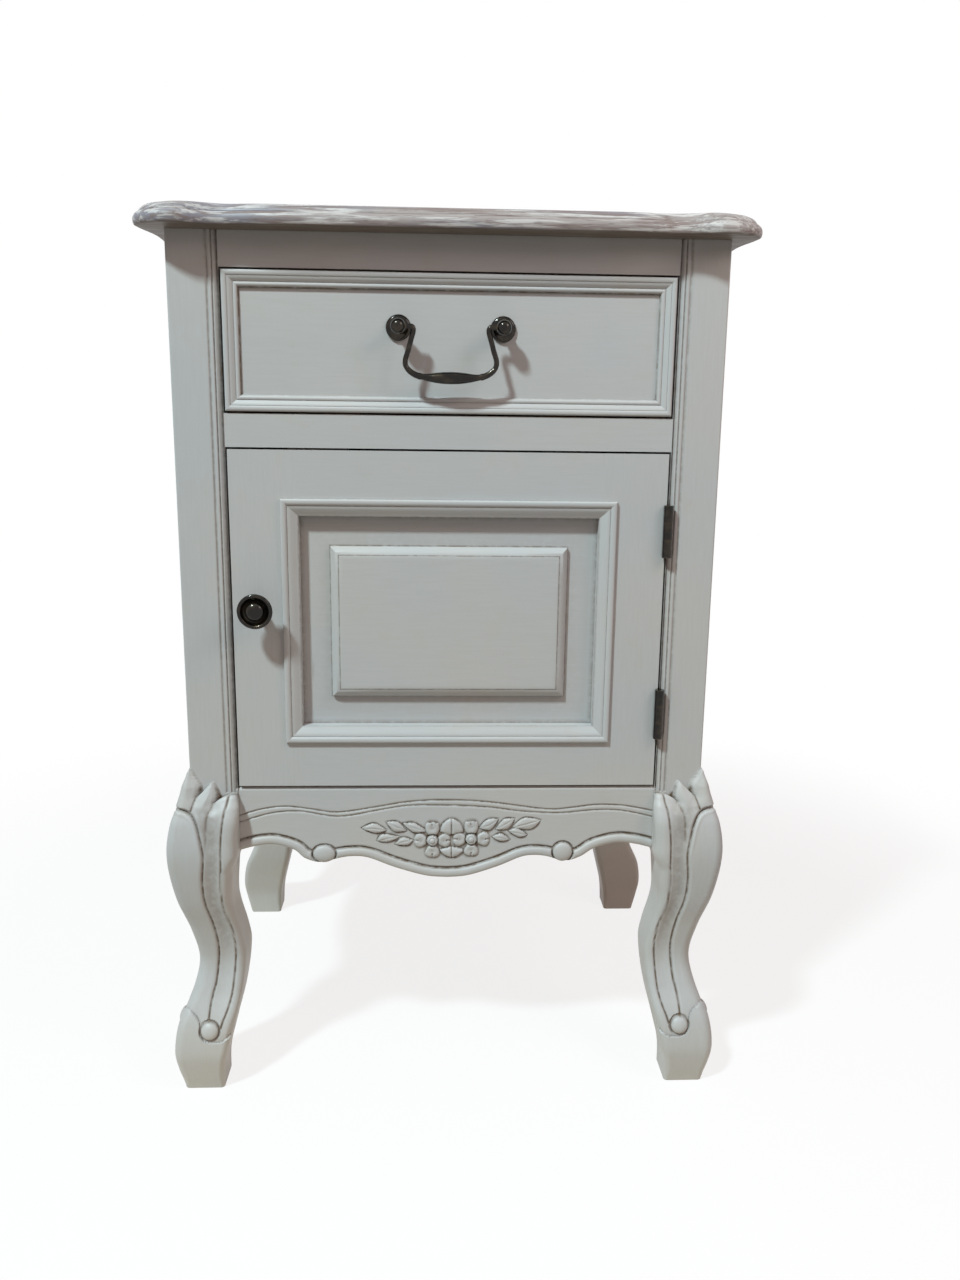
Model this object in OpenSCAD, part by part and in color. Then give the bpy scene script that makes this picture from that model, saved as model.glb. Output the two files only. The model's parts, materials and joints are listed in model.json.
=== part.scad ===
// Bedside pot cupboard: one drawer over one door, on carved cabriole legs.
// Millimetres. +Z is up and the front faces -Y. The origin lies on the floor,
// under the middle of the top. Inside this file the fronts of the posts lie at y = 0.

/* [Carcass] */
// Width over the outer faces of the posts
case_w = 407; // [385:1:430]
// Depth over the outer faces of the posts
case_d = 320; // [305:1:340]
// Width and depth of a post
post_w = 37; // [36:0.5:40]
// Height of the apron's top edge, where the door opening starts
leg_h = 257.5; // [252:0.5:265]
// Height of the frieze rail under the top
frieze_h = 25; // [22:0.5:32]
// Height of the rail between drawer and door
mid_rail_h = 24.5; // [20:0.5:30]
// Depth of the rail between drawer and door
mid_rail_d = 35; // [33:0.5:39]
// Thickness of the frieze rail and the two back rails
rail_t = 18; // [16:0.5:20]
// Height of the bottom back rail
back_rail_h = 42; // [35:1:50]
// How far the rails and aprons lie behind the faces of the posts
rail_set = 1; // [0.5:0.1:2]
// Length of a rail's tenon
tenon_l = 14; // [10:0.5:16]
// Thickness of a rail's tenon
tenon_t = 8; // [6:0.5:10]
// Shoulder above and below a rail's tenon
tenon_shoulder = 4; // [3:0.5:6]
// Play round a glued tenon or tongue
joint_clear = 0.1; // [0.05:0.05:0.3]

/* [Top] */
// Thickness of the top
top_t = 16; // [14:0.5:20]
// Overhang of the top past the front and back faces of the posts
top_over_front = 20.5; // [16:0.5:26]
// Overhang of the top past the side faces of the posts
top_over_side = 16.5; // [12:0.5:22]
// How far the ears at the corners stand out past the straight edges
ear_out = 4; // [2:0.5:6]
// How far the hollow beside each ear lies behind the straight edge
ear_dip = 3; // [1:0.5:4]
// Height of the rounded nose of the moulded edge
nose_h = 9.5; // [8:0.5:11]
// How far the moulded edge runs in from the nose to the flat of the top
edge_run = 13; // [10:0.5:15]

/* [Legs] */
// How far the knee stands out from the post
knee_out = 17.6; // [14:0.2:19]
// Thickness of the knee
knee_w = 50.3; // [47:0.1:51]
// Height from the knee's widest point to the apron's top edge
knee_drop = 54.5; // [50:0.5:60]
// Thickness of the ankle
ankle_w = 37.8; // [34:0.2:38]
// Height of the ankle above the floor
ankle_z = 108; // [100:1:115]
// How far the foot stands out from the post
foot_out = 19.4; // [16:0.2:21]
// Thickness of the foot
foot_w = 44.5; // [40:0.5:47]
// Height of the foot's widest point
foot_z = 36; // [30:1:40]
// How far the sole's outer edge stands out from the post
sole_out = 12.5; // [9:0.5:15]
// Width and depth of the sole
sole_w = 32; // [28:0.5:36]

/* [Boards] */
// Thickness of the side panels
side_t = 14; // [12:0.5:16]
// How far a side panel lies behind the posts' outer faces
side_set = 4.5; // [3:0.5:6]
// How far a side panel runs into its grooves in the posts
side_tongue = 6; // [4:0.5:8]
// Thickness of the back panel
back_t = 4.5; // [4:0.5:6]
// How far the back panel lies inside the posts' back faces
back_set = 1; // [0.5:0.5:2]
// Width of the rebate in the posts that takes the back panel
rebate_w = 6; // [5:0.5:8]
// Thickness of the cupboard's floor
floor_t = 12; // [10:0.5:16]
// Width and height of the cleats under the floor
cleat_w = 15; // [12:1:18]

/* [Aprons] */
// Thickness of the front and side aprons
apron_t = 18; // [16:0.5:20]
// Height of the front apron's lowest point above the floor
apron_low_z = 180; // [172:1:186]
// Height of the apron's ends above the floor
apron_end_z = 204.5; // [200:0.5:206]
// Distance of the left button from the middle
button_left_x = 100; // [92:0.5:106]
// Distance of the right button from the middle
button_right_x = 93.5; // [88:0.5:106]
// Diameter of a carved button
button_d = 16.5; // [13:0.5:18]
// Height of a button above the apron's face
button_up = 3.2; // [2:0.2:5]
// Width of the bead along the apron's lower edge
bead_w = 7.5; // [6:0.5:9]
// Height of the bead above the apron's face
bead_up = 1.6; // [1:0.2:2.5]

/* [Drawer] */
// How far the drawer's face lies behind the faces of the posts
drawer_set = 4; // [2:0.5:6]
// Height of the drawer front
drawer_h = 99; // [90:1:110]
// Thickness of the drawer front
drawer_front_t = 18; // [16:0.5:20]
// Gap round the drawer front and the door
gap = 1.5; // [1:0.1:2]
// Thickness of the drawer's sides and back
drawer_side_t = 12; // [10:0.5:14]
// Height of the drawer's sides
drawer_side_h = 94; // [80:1:96]
// Room left between the drawer's sides and the back panel
drawer_room = 26.5; // [20:0.5:60]
// Thickness of the drawer's bottom
drawer_bottom_t = 5; // [4:0.5:6]
// How far the bottom lies above the lower edges of the sides
drawer_bottom_up = 10; // [8.5:0.5:14]
// How far the bottom and the sides run into their grooves
drawer_groove = 5; // [4:0.5:6]
// Running play of the drawer on its runners and guides
drawer_play = 0.4; // [0.3:0.1:0.8]
// Thickness of a drawer runner
runner_t = 12; // [10:1:16]
// Height of the guide strip on a runner
guide_h = 20; // [12:1:30]
// Width of the runner's ledge under the drawer's side
ledge_w = 18; // [15:1:25]
// Width of a kicker over the drawer's side
kicker_w = 24; // [20:1:30]
// Length of a drawer stop
stop_l = 30; // [20:1:50]
// Depth of a drawer stop
stop_d = 11; // [8:0.5:13]
// Height of a drawer stop
stop_h = 6.5; // [4:0.5:8]

/* [Mouldings] */
// Width of the moulding round the drawer front
drawer_mould_w = 12; // [10:0.5:14]
// Height of the moulding on the drawer front
drawer_mould_up = 5; // [4:0.5:6]
// Width of the moulding round the door's panel
door_mould_w = 13; // [11:0.5:15]
// Height of the moulding above the door's face
door_mould_up = 3.2; // [2.6:0.2:4]
// How far the inner part of the moulding is let into the door's frame
mould_sink = 2.5; // [1.5:0.5:3]

/* [Door] */
// Height of the door
door_h = 262; // [240:1:290]
// Thickness of the door
door_t = 18; // [16:0.5:20]
// Width of the door's stiles
stile_w = 51; // [46:0.5:56]
// Height of the door's rails
door_rail_h = 49; // [44:0.5:56]
// Depth of the groove that holds the door's panel
panel_groove = 8; // [6:0.5:10]
// Thickness of the panel's edge
panel_t = 5.5; // [5:0.5:7]
// How far the panel's field lies behind the door's face
panel_set = 9.5; // [8:0.5:10.5]
// Height of the upright step at the foot of the panel's raised middle
raise_step = 3; // [2:0.5:4]
// Height of the raised middle above the panel's field
raise_up = 7.5; // [6:0.5:9]
// Width of the field round the raised middle
field_w = 23; // [18:0.5:28]
// Width of the bevel round the raised middle
bevel_w = 6.6; // [4:0.2:9]
// Seasonal play of the panel in its groove
panel_play = 1; // [0.5:0.1:1.5]

/* [Hinges] */
// Height of a hinge
hinge_h = 40; // [36:1:50]
// Height of the upper hinge's middle above the door's lower edge
hinge_upper_z = 204; // [190:1:215]
// Height of the lower hinge's middle above the door's lower edge
hinge_lower_z = 60; // [45:1:70]
// Outer diameter of the knuckles
knuckle_d = 7.2; // [6:0.2:8]
// Diameter of a hinge pin
pin_d = 3; // [2.5:0.1:3.5]
// Thickness of a hinge leaf
leaf_t = 1.2; // [1:0.1:1.4]
// Width of a leaf from the door's face inwards
leaf_w = 15; // [12:0.5:16]
// Play between the two leaves when the door is shut
leaf_clear = 0.4; // [0.3:0.1:0.6]
// Radial play of the pin in its knuckles
pin_clear = 0.05; // [0.03:0.01:0.1]
// End play between two knuckles
knuckle_clear = 0.2; // [0.1:0.05:0.4]

/* [Fittings] */
// Distance between the centres of the two handle posts
handle_cc = 76.5; // [70:0.5:90]
// Height of the handle's pivots above the drawer front's lower edge
handle_z = 61; // [55:0.5:70]
// Distance of the handle's pivot from the drawer's face
pivot_out = 14; // [13:0.5:16]
// Diameter of a handle post's ball
ball_d = 11; // [10:0.2:12]
// Diameter of the rose under a handle post
rose_d = 18.6; // [16:0.2:20]
// Diameter of the bail's wire
bail_d = 3.8; // [3:0.1:4.2]
// Diameter of the bail's grip at its middle
grip_d = 8.8; // [6:0.2:9]
// Drop from the pivots to the middle of the grip
bail_drop = 35.8; // [30:0.2:40]
// Diameter of the knob's head
knob_d = 26.5; // [24:0.5:30]
// Distance of the knob's front from the door's face
knob_out = 23; // [20:0.5:24]
// Distance of the knob's centre from the door's left edge
knob_x = 19.8; // [18:0.2:26]
// Height of the knob's centre above the door's lower edge
knob_z = 143.5; // [120:0.5:160]
// Diameter of the machine screws in handle and knob
machine_d = 4; // [3.5:0.5:4.5]
// Diameter of the wood screws in hinges, back panel and top
screw_d = 3; // [2.6:0.1:3.4]
// Radial play round a screw
screw_clear = 0.1; // [0.05:0.05:0.3]
// Length of the magnetic catch
catch_l = 46; // [36:1:60]
// Depth of the magnetic catch
catch_d = 12.5; // [10:0.5:13.5]
// Height of the magnetic catch
catch_h = 13; // [12:0.5:16]
// Distance of the catch's middle from the middle of the door
catch_x = 100; // [70:1:115]
// Length of the steel strike plate
strike_l = 34; // [26:1:48]
// Thickness of the steel strike plate
strike_t = 1; // [0.8:0.1:1.5]
// Height of the steel strike plate
strike_h = 11; // [8:0.5:12]
// Play between the catch and its strike plate
catch_clear = 0.3; // [0.2:0.1:0.6]

/* [Hidden] */
$fn = 48;

// Colours
paint = [0.86, 0.85, 0.80];
washed = [0.76, 0.71, 0.68];
bare_wood = [0.80, 0.68, 0.50];
bronze = [0.22, 0.18, 0.13];
steel = [0.62, 0.62, 0.62];
catch_plastic = [0.83, 0.81, 0.75];

// Heights, from the floor up
door_z = leg_h + gap;
mid_rail_z = door_z + door_h + gap;
rail_top_z = mid_rail_z + mid_rail_h;
drawer_z = rail_top_z + gap;
frieze_z = drawer_z + drawer_h + gap;
case_h = frieze_z + frieze_h;

// Widths and depths
half_w = case_w / 2;
open_x = half_w - post_w;
front_x = open_x - gap;
back_y = case_d - post_w;
side_out_x = half_w - side_set;
side_in_x = side_out_x - side_t;
apron_out_x = half_w - rail_set;
apron_in_x = apron_out_x - apron_t;
panel_back_y = case_d - back_set;
panel_front_y = panel_back_y - back_t;
back_rail_y = panel_front_y - rail_t;
top_x = half_w + top_over_side;
top_front_y = -top_over_front;
top_back_y = case_d + top_over_front;
y_mid = (top_front_y - ear_out + top_back_y) / 2;
// A cut runs this far past the face it opens
skin = 0.01;
// Longer than any cut through a leg
far = 2 * post_w;

// Moves everything from the working frame to the part's own origin
module place() {
    translate([0, -y_mid, 0]) children();
}

// A box from its two corners, grown by c on every side
module box(lo, hi, c = 0) {
    translate(lo - [c, c, c]) cube(hi - lo + [2 * c, 2 * c, 2 * c]);
}

// A shape and its mirror image across the middle plane
module both() {
    children();
    mirror([1, 0, 0]) children();
}

// A smooth curve through points, with n steps between each pair
function spline_point(a, b, c, d, t) =
    0.5 * (2 * b + (c - a) * t + (2 * a - 5 * b + 4 * c - d) * t * t
        + (3 * b - a - 3 * c + d) * t * t * t);
function spline(p, n) = concat(
    [for (i = [0 : len(p) - 2]) for (k = [0 : n - 1])
        spline_point(p[max(i - 1, 0)], p[i], p[i + 1], p[min(i + 2, len(p) - 1)], k / n)],
    [p[len(p) - 1]]);
function flip_x(p) = [for (i = [len(p) - 1 : -1 : 0]) [-p[i].x, p[i].y]];

// ---- Top ----

// An ear runs this far back along the side of the top
ear_l = 0.3 * case_d;
// Right half of the top's front edge, from the middle to the side, then along the side
top_quarter = spline([
    [0, top_front_y],
    [open_x - 38, top_front_y],
    [open_x - 1, top_front_y + ear_dip],
    [half_w - 10, top_front_y - ear_out],
    [top_x - 7.5, top_front_y + 2],
    [top_x + ear_out - 1.5, top_front_y + 13],
    [top_x + ear_out - 1, top_front_y + 25],
    [top_x - ear_dip + 1.5, top_front_y + 0.6 * ear_l],
    [top_x, top_front_y + ear_l]
], 6);
top_back = [
    [top_x, top_back_y - 16],
    [top_x - 1.6, top_back_y - 7],
    [top_x - 7, top_back_y - 1.6],
    [top_x - 16, top_back_y]
];
top_right = concat(top_quarter, spline(top_back, 3));
top_outline = concat(top_right, flip_x(top_right));

// The outline drawn in by d, square to its edge
function unit(v) = v / norm(v);
function edge_normal(p, i) =
    let (a = p[(i + len(p) - 1) % len(p)], b = p[(i + 1) % len(p)], t = unit(b - a)) [-t.y, t.x];
function inset(p, d) = [for (i = [0 : len(p) - 1]) p[i] + d * edge_normal(p, i)];

// Inset and height of each ring of the moulded edge, from the underside up
top_rings = [
    [3, 0], [0.8, 1], [0, 0.42 * nose_h], [0.9, 0.8 * nose_h], [3, nose_h],
    [0.36 * edge_run, nose_h + 0.8], [0.55 * edge_run, top_t - 2.6], [edge_run, top_t]
];

// A closed solid through rings of equal length
module loft(rings) {
    n = len(rings[0]);
    last = len(rings) - 1;
    polyhedron(
        points = [for (r = rings) for (p = r) p],
        faces = concat(
            [[for (i = [n - 1 : -1 : 0]) i]],
            [for (k = [0 : last - 1]) for (i = [0 : n - 1])
                [k * n + i, k * n + (i + 1) % n, (k + 1) * n + (i + 1) % n]],
            [for (k = [0 : last - 1]) for (i = [0 : n - 1])
                [k * n + i, (k + 1) * n + (i + 1) % n, (k + 1) * n + i]],
            [[for (i = [0 : n - 1]) last * n + i]]),
        convexity = 4);
}

module top_panel() {
    outline = [for (i = [0 : len(top_outline) - 1])
        if (i == 0 || norm(top_outline[i] - top_outline[i - 1]) > skin) top_outline[i]];
    closed = [for (i = [0 : len(outline) - 1])
        if (norm(outline[i] - outline[(i + 1) % len(outline)]) > skin) outline[i]];
    color(washed) place() difference() {
        loft([for (r = top_rings) [for (p = inset(closed, r[0])) [p.x, p.y, case_h + r[1]]]]);
        top_screw_places() screw_hole(top_screw_l);
    }
}

// ---- Screws ----

// A countersunk wood screw: head down at the origin, point up along +Z
head_h = screw_d / 2;
module wood_screw(l) {
    union() {
        cylinder(h = head_h, r1 = screw_d, r2 = screw_d / 2);
        translate([0, 0, head_h]) cylinder(h = l - head_h, d = screw_d);
    }
}
module screw_hole(l) {
    union() {
        translate([0, 0, -skin])
            cylinder(h = head_h, r1 = screw_d + screw_clear, r2 = screw_d / 2 + screw_clear);
        cylinder(h = l + screw_clear, d = screw_d + 2 * screw_clear);
    }
}

// The screws that hold the top, up through the kickers
top_screw_l = frieze_h + 0.6 * top_t;
top_screw_in = 40;
kicker_mid_x = side_in_x - kicker_w / 2;
module top_screw_places() {
    both() for (y = [post_w + top_screw_in, back_y - top_screw_in])
        translate([kicker_mid_x, y, frieze_z]) children();
}
module top_screws() {
    color(steel) place() top_screw_places() wood_screw(top_screw_l);
}

// ---- Legs ----

// Outer and inner edge of a leg: distance out of the post's outer face, and height
knee_z = leg_h - knee_drop;
leg_outer = spline([
    [sole_out, 0],
    [foot_out - 2.2, foot_z / 2],
    [foot_out, foot_z],
    [0.8 * foot_out, foot_z + 24],
    [0.25 * foot_out, ankle_z - 24],
    [0, ankle_z],
    [0.26 * knee_out, ankle_z + 28],
    [0.75 * knee_out, ankle_z + 60],
    [knee_out, knee_z],
    [0.82 * knee_out, knee_z + 27],
    [0.41 * knee_out, leg_h - 9.5],
    [0.15 * knee_out, leg_h + 8.5],
    [0, leg_h + 26.5]
], 4);
leg_inner = spline([
    [sole_out - sole_w, 0],
    [foot_out - foot_w + 4.5, foot_z - 14],
    [foot_out - foot_w, foot_z + 6],
    [foot_out - foot_w - 8.5, foot_z + 40],
    [-ankle_w, ankle_z],
    [-ankle_w + 1.5, ankle_z + 19],
    [knee_out - knee_w + 1, ankle_z + 44],
    [knee_out - knee_w + 2, ankle_z + 60],
    [knee_out - knee_w, knee_z - 3],
    [knee_out - knee_w, knee_z + 15],
    [-post_w, leg_h]
], 4);
leg_profile = concat(
    leg_outer, [[0, case_h], [-post_w, case_h]],
    [for (i = [len(leg_inner) - 1 : -1 : 0]) leg_inner[i]]);

// A leg sawn to the same curve from two faces. Its post's outer corner is at the origin
module leg_blank() {
    intersection() {
        translate([0, far, 0]) rotate([90, 0, 0]) linear_extrude(2 * far) polygon(leg_profile);
        translate([-far, 0, 0]) rotate([90, 0, 90]) linear_extrude(2 * far) polygon(leg_profile);
    }
}

// The two bead lines cut along the inner edge of a front post
bead_line_w = 0.7;
bead_line_deep = 1;
bead_step = 3;
module bead_lines() {
    for (k = [1, 2])
        box([open_x + k * bead_step - bead_line_w / 2, -skin, leg_h + 10],
            [open_x + k * bead_step + bead_line_w / 2, bead_line_deep, case_h + skin]);
}

module front_leg() {
    difference() {
        translate([half_w, 0, 0]) mirror([0, 1, 0]) leg_blank();
        bead_lines();
        rail_tenons(rail_set, rail_set + rail_t, frieze_z, case_h, joint_clear);
        rail_tenons(rail_set, rail_set + mid_rail_d, mid_rail_z, rail_top_z, joint_clear);
        apron_slot(joint_clear);
        side_panel_board(joint_clear);
        side_apron_board(joint_clear);
    }
}
module back_leg() {
    difference() {
        translate([half_w, case_d, 0]) leg_blank();
        rail_tenons(back_rail_y, panel_front_y, frieze_z, case_h, joint_clear);
        rail_tenons(back_rail_y, panel_front_y, back_rail_z, leg_h, joint_clear);
        back_board(joint_clear);
        side_panel_board(joint_clear);
        side_apron_board(joint_clear);
    }
}
module leg_front_right() {
    color(paint) place() difference() {
        front_leg();
        for (z = hinge_zs) {
            leaf_recess(z, 1);
            translate([leaf_in_x + leaf_t, 0, z]) leaf_screw_places() screw_hole(hinge_screw_l);
        }
    }
}
module leg_front_left() {
    color(paint) place() mirror([1, 0, 0]) front_leg();
}
module leg_back_right() {
    color(paint) place() back_leg();
}
module leg_back_left() {
    color(paint) place() mirror([1, 0, 0]) back_leg();
}

// ---- Rails ----

// The tenons of a rail between two posts, drawn on the right-hand side
module rail_tenons(y0, y1, z0, z1, c = 0) {
    mid = (y0 + y1) / 2;
    box([open_x - 1, mid - tenon_t / 2, z0 + tenon_shoulder],
        [open_x + tenon_l, mid + tenon_t / 2, z1 - tenon_shoulder], c);
}
module rail(y0, y1, z0, z1) {
    union() {
        box([-open_x, y0, z0], [open_x, y1, z1]);
        both() rail_tenons(y0, y1, z0, z1);
    }
}
back_rail_z = leg_h - back_rail_h;
module frieze_rail() {
    color(paint) place() rail(rail_set, rail_set + rail_t, frieze_z, case_h);
}
module mid_rail() {
    color(paint) place() rail(rail_set, rail_set + mid_rail_d, mid_rail_z, rail_top_z);
}
module back_top_rail() {
    color(paint) place() difference() {
        rail(back_rail_y, panel_front_y, frieze_z, case_h);
        back_screw_places() screw_hole(back_screw_l);
    }
}
module back_bottom_rail() {
    color(paint) place() difference() {
        rail(back_rail_y, panel_front_y, back_rail_z, leg_h);
        back_screw_places() screw_hole(back_screw_l);
    }
}

// ---- Aprons ----

apron_y = rail_set + 0.5;

// Lower edge of half an apron, from the middle to the leg, for a button at distance b
function apron_half(b) = spline([
    [0, apron_low_z],
    [0.18 * b, apron_low_z + 1.7],
    [0.43 * b, apron_low_z + 9],
    [0.64 * b, apron_low_z + 17],
    [0.77 * b, apron_low_z + 18.8],
    [0.89 * b, apron_low_z + 16.8],
    [b, apron_low_z + 13],
    [1.15 * b, apron_low_z + 16.5],
    [b + (open_x - b) * 0.38, apron_low_z + 24.5],
    [b + (open_x - b) * 0.6, apron_low_z + 29],
    [b + (open_x - b) * 0.82, apron_end_z + 3.2],
    [open_x, apron_end_z]
], 4);
apron_lower = concat(
    [for (p = flip_x(apron_half(button_left_x))) if (p.x < -skin) p],
    apron_half(button_right_x));
button_z = apron_low_z + 21;

module apron_slot(c = 0) {
    box([open_x - 1, apron_y, apron_end_z], [open_x + tenon_l, apron_y + apron_t, leg_h], c);
}
module upright(y0, t) {
    translate([0, y0 + t, 0]) rotate([90, 0, 0]) linear_extrude(t) children();
}
module front_apron() {
    ends = open_x + tenon_l;
    bead_line = [for (p = apron_lower) p + [0, bead_w]];
    color(paint) place() union() {
        upright(apron_y, apron_t) polygon(concat(
            [[-ends, apron_end_z]], apron_lower,
            [[ends, apron_end_z], [ends, leg_h], [-ends, leg_h]]));
        upright(apron_y - bead_up, bead_up + skin) polygon(concat(
            apron_lower, [for (i = [len(bead_line) - 1 : -1 : 0]) bead_line[i]]));
        for (x = [-button_left_x, button_right_x])
            translate([x, apron_y + 1, button_z]) rotate([90, 0, 0])
                cylinder(h = button_up + 1, d = button_d);
    }
}

// A side apron on the right, with its two ends let into the legs
side_low_z = apron_low_z + 16;
module side_apron_board(c = 0) {
    box([apron_in_x, post_w - tenon_l, apron_end_z], [apron_out_x, back_y + tenon_l, leg_h], c);
}
module side_apron() {
    mid = case_d / 2;
    half = mid - post_w;
    wave = spline([
        [0, side_low_z - 6], [0.3 * half, side_low_z - 1], [0.55 * half, side_low_z + 9],
        [0.8 * half, side_low_z + 11], [half, apron_end_z]
    ], 5);
    lower = concat([for (p = flip_x(wave)) if (p.x < -skin) p], wave);
    ends = half + tenon_l;
    translate([apron_in_x, mid, 0]) rotate([90, 0, 90]) linear_extrude(apron_t)
        polygon(concat([[-ends, apron_end_z]], lower, [[ends, apron_end_z], [ends, leg_h], [-ends, leg_h]]));
}
module side_apron_right() {
    color(paint) place() side_apron();
}
module side_apron_left() {
    color(paint) place() mirror([1, 0, 0]) side_apron();
}

// ---- Side panels, back and floor ----

module side_panel_board(c = 0) {
    box([side_in_x, post_w - side_tongue, leg_h], [side_out_x, back_y + side_tongue, case_h], c);
}
module side_panel_right() {
    color(paint) place() side_panel_board();
}
module side_panel_left() {
    color(paint) place() mirror([1, 0, 0]) side_panel_board();
}

// The back panel lies in rebates of the back posts and is screwed to the two back rails
back_low_z = back_rail_z + 4;
module back_board(c = 0) {
    box([-open_x - rebate_w, panel_front_y, back_low_z], [open_x + rebate_w, panel_back_y + c, case_h], c);
}
back_screw_in = 0.67 * rail_t;
back_screw_l = back_t + back_screw_in;
module back_screw_places() {
    for (x = [-0.75, 0, 0.75])
        for (z = [back_rail_z + back_rail_h / 2, frieze_z + frieze_h / 2])
            translate([x * open_x, panel_back_y, z]) rotate([90, 0, 0]) children();
}
module back_panel() {
    color(bare_wood) place() difference() {
        back_board();
        back_screw_places() screw_hole(back_screw_l);
    }
}
module back_panel_screws() {
    color(steel) place() back_screw_places() wood_screw(back_screw_l);
}

// The floor is notched round the four posts
floor_z = leg_h - floor_t;
floor_play = 0.3;
module floor_panel() {
    color(paint) place() difference() {
        box([-apron_in_x, apron_y + apron_t, floor_z], [apron_in_x, back_rail_y, leg_h]);
        both() for (y = [0, back_y])
            box([open_x, y, floor_z - 1], [half_w, y + post_w, leg_h + 1], floor_play);
    }
}
module floor_cleat() {
    box([apron_in_x - cleat_w, post_w + 4, floor_z - cleat_w], [apron_in_x, back_y - 4, floor_z]);
}
module floor_cleat_right() {
    color(bare_wood) place() floor_cleat();
}
module floor_cleat_left() {
    color(bare_wood) place() mirror([1, 0, 0]) floor_cleat();
}

// ---- What carries the drawer ----

box_x = open_x - 2;
guide_x = box_x + drawer_play;
module drawer_runner() {
    front_y = rail_set + mid_rail_d;
    union() {
        box([box_x - ledge_w, front_y, rail_top_z - runner_t], [open_x - 0.2, back_y + 10, rail_top_z]);
        box([open_x - 1, post_w, rail_top_z - runner_t], [side_in_x, back_y, rail_top_z]);
        box([guide_x, post_w, rail_top_z - 1], [side_in_x, back_y, rail_top_z + guide_h]);
    }
}
module drawer_runner_right() {
    color(bare_wood) place() drawer_runner();
}
module drawer_runner_left() {
    color(bare_wood) place() mirror([1, 0, 0]) drawer_runner();
}

// A kicker on each side keeps the open drawer level and takes the top's screws
module kicker() {
    difference() {
        box([side_in_x - kicker_w, post_w, frieze_z], [side_in_x, back_y, case_h]);
        top_screw_places() screw_hole(top_screw_l);
    }
}
module kicker_right() {
    color(bare_wood) place() kicker();
}
module kicker_left() {
    color(bare_wood) place() mirror([1, 0, 0]) kicker();
}
stop_x = 0.5 * open_x;
stop_play = 0.3;
// The back face of the drawer front
drawer_rear_y = drawer_set + drawer_front_t;
module drawer_stops() {
    color(bare_wood) place() both()
        translate([stop_x - stop_l / 2, drawer_rear_y + stop_play, rail_top_z])
            cube([stop_l, stop_d, stop_h]);
}

// ---- Drawer ----

side_z = rail_top_z + drawer_play;
// Length of the drawer's sides behind the front
drawer_l = panel_front_y - drawer_room - drawer_rear_y;
side_end_y = drawer_rear_y + drawer_l;
bottom_z = side_z + drawer_bottom_up;
module drawer_side_board(c = 0) {
    box([box_x - drawer_side_t, drawer_rear_y - drawer_groove, side_z],
        [box_x, side_end_y, side_z + drawer_side_h], c);
}
module drawer_bottom_board(c = 0) {
    inner = box_x - drawer_side_t + drawer_groove;
    box([-inner, drawer_rear_y - drawer_groove, bottom_z],
        [inner, side_end_y, bottom_z + drawer_bottom_t], c);
}
module drawer_front() {
    color(paint) place() difference() {
        box([-front_x, drawer_set, drawer_z], [front_x, drawer_rear_y, drawer_z + drawer_h]);
        both() drawer_side_board(joint_clear);
        drawer_bottom_board(joint_clear);
        handle_places() translate([0, -1, 0]) through_hole(drawer_front_t + 2);
    }
}
module drawer_side() {
    difference() {
        drawer_side_board();
        drawer_bottom_board(joint_clear);
    }
}
module drawer_side_right() {
    color(bare_wood) place() drawer_side();
}
module drawer_side_left() {
    color(bare_wood) place() mirror([1, 0, 0]) drawer_side();
}
drawer_back_in = 4;
module drawer_back() {
    inner = box_x - drawer_side_t;
    top_z = side_z + drawer_side_h - 4;
    color(bare_wood) place()
        box([-inner, side_end_y - drawer_back_in - drawer_side_t, bottom_z + drawer_bottom_t],
            [inner, side_end_y - drawer_back_in, top_z]);
}
module drawer_bottom() {
    color(bare_wood) place() drawer_bottom_board();
}

// ---- Mouldings ----

// Distance in from the outer edge, and height, of each point of a moulding's section
drawer_section = [
    [0, 0], [0, 0.7 * drawer_mould_up], [0.1 * drawer_mould_w, drawer_mould_up],
    [0.3 * drawer_mould_w, drawer_mould_up], [0.38 * drawer_mould_w, 0.75 * drawer_mould_up],
    [0.46 * drawer_mould_w, 0.9 * drawer_mould_up], [0.58 * drawer_mould_w, 0.9 * drawer_mould_up],
    [0.66 * drawer_mould_w, 0.6 * drawer_mould_up], [0.74 * drawer_mould_w, 0.7 * drawer_mould_up],
    [0.88 * drawer_mould_w, 0.6 * drawer_mould_up], [drawer_mould_w, 0.3 * drawer_mould_up],
    [drawer_mould_w, 0]
];
// The door's moulding laps this far over the frame. Its inner part lies in a rebate
mould_lap = 0.38 * door_mould_w;
door_section = [
    [0, 0], [0, 0.6 * door_mould_up], [0.08 * door_mould_w, 0.92 * door_mould_up],
    [0.18 * door_mould_w, door_mould_up], [0.3 * door_mould_w, 0.88 * door_mould_up],
    [mould_lap, 0.55 * door_mould_up], [0.5 * door_mould_w, 0.45 * door_mould_up],
    [door_mould_w, -0.7 * mould_sink], [door_mould_w, -mould_sink], [mould_lap, -mould_sink], [mould_lap, 0]
];

// A mitred length with its outer edge along the X axis, on the face y = 0, running up in z
module mitred(l, w, section) {
    difference() {
        translate([-l / 2, 0, 0]) rotate([0, 90, 0]) linear_extrude(l)
            polygon([for (p = section) [-p[0], -p[1]]]);
        for (s = [-1, 1])
            translate([s * l / 2, 0, 0]) rotate([0, -s * 45, 0])
                translate([s > 0 ? 0 : -3 * w, -3 * w, -3 * w]) cube([3 * w, 6 * w, 8 * w]);
    }
}

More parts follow.
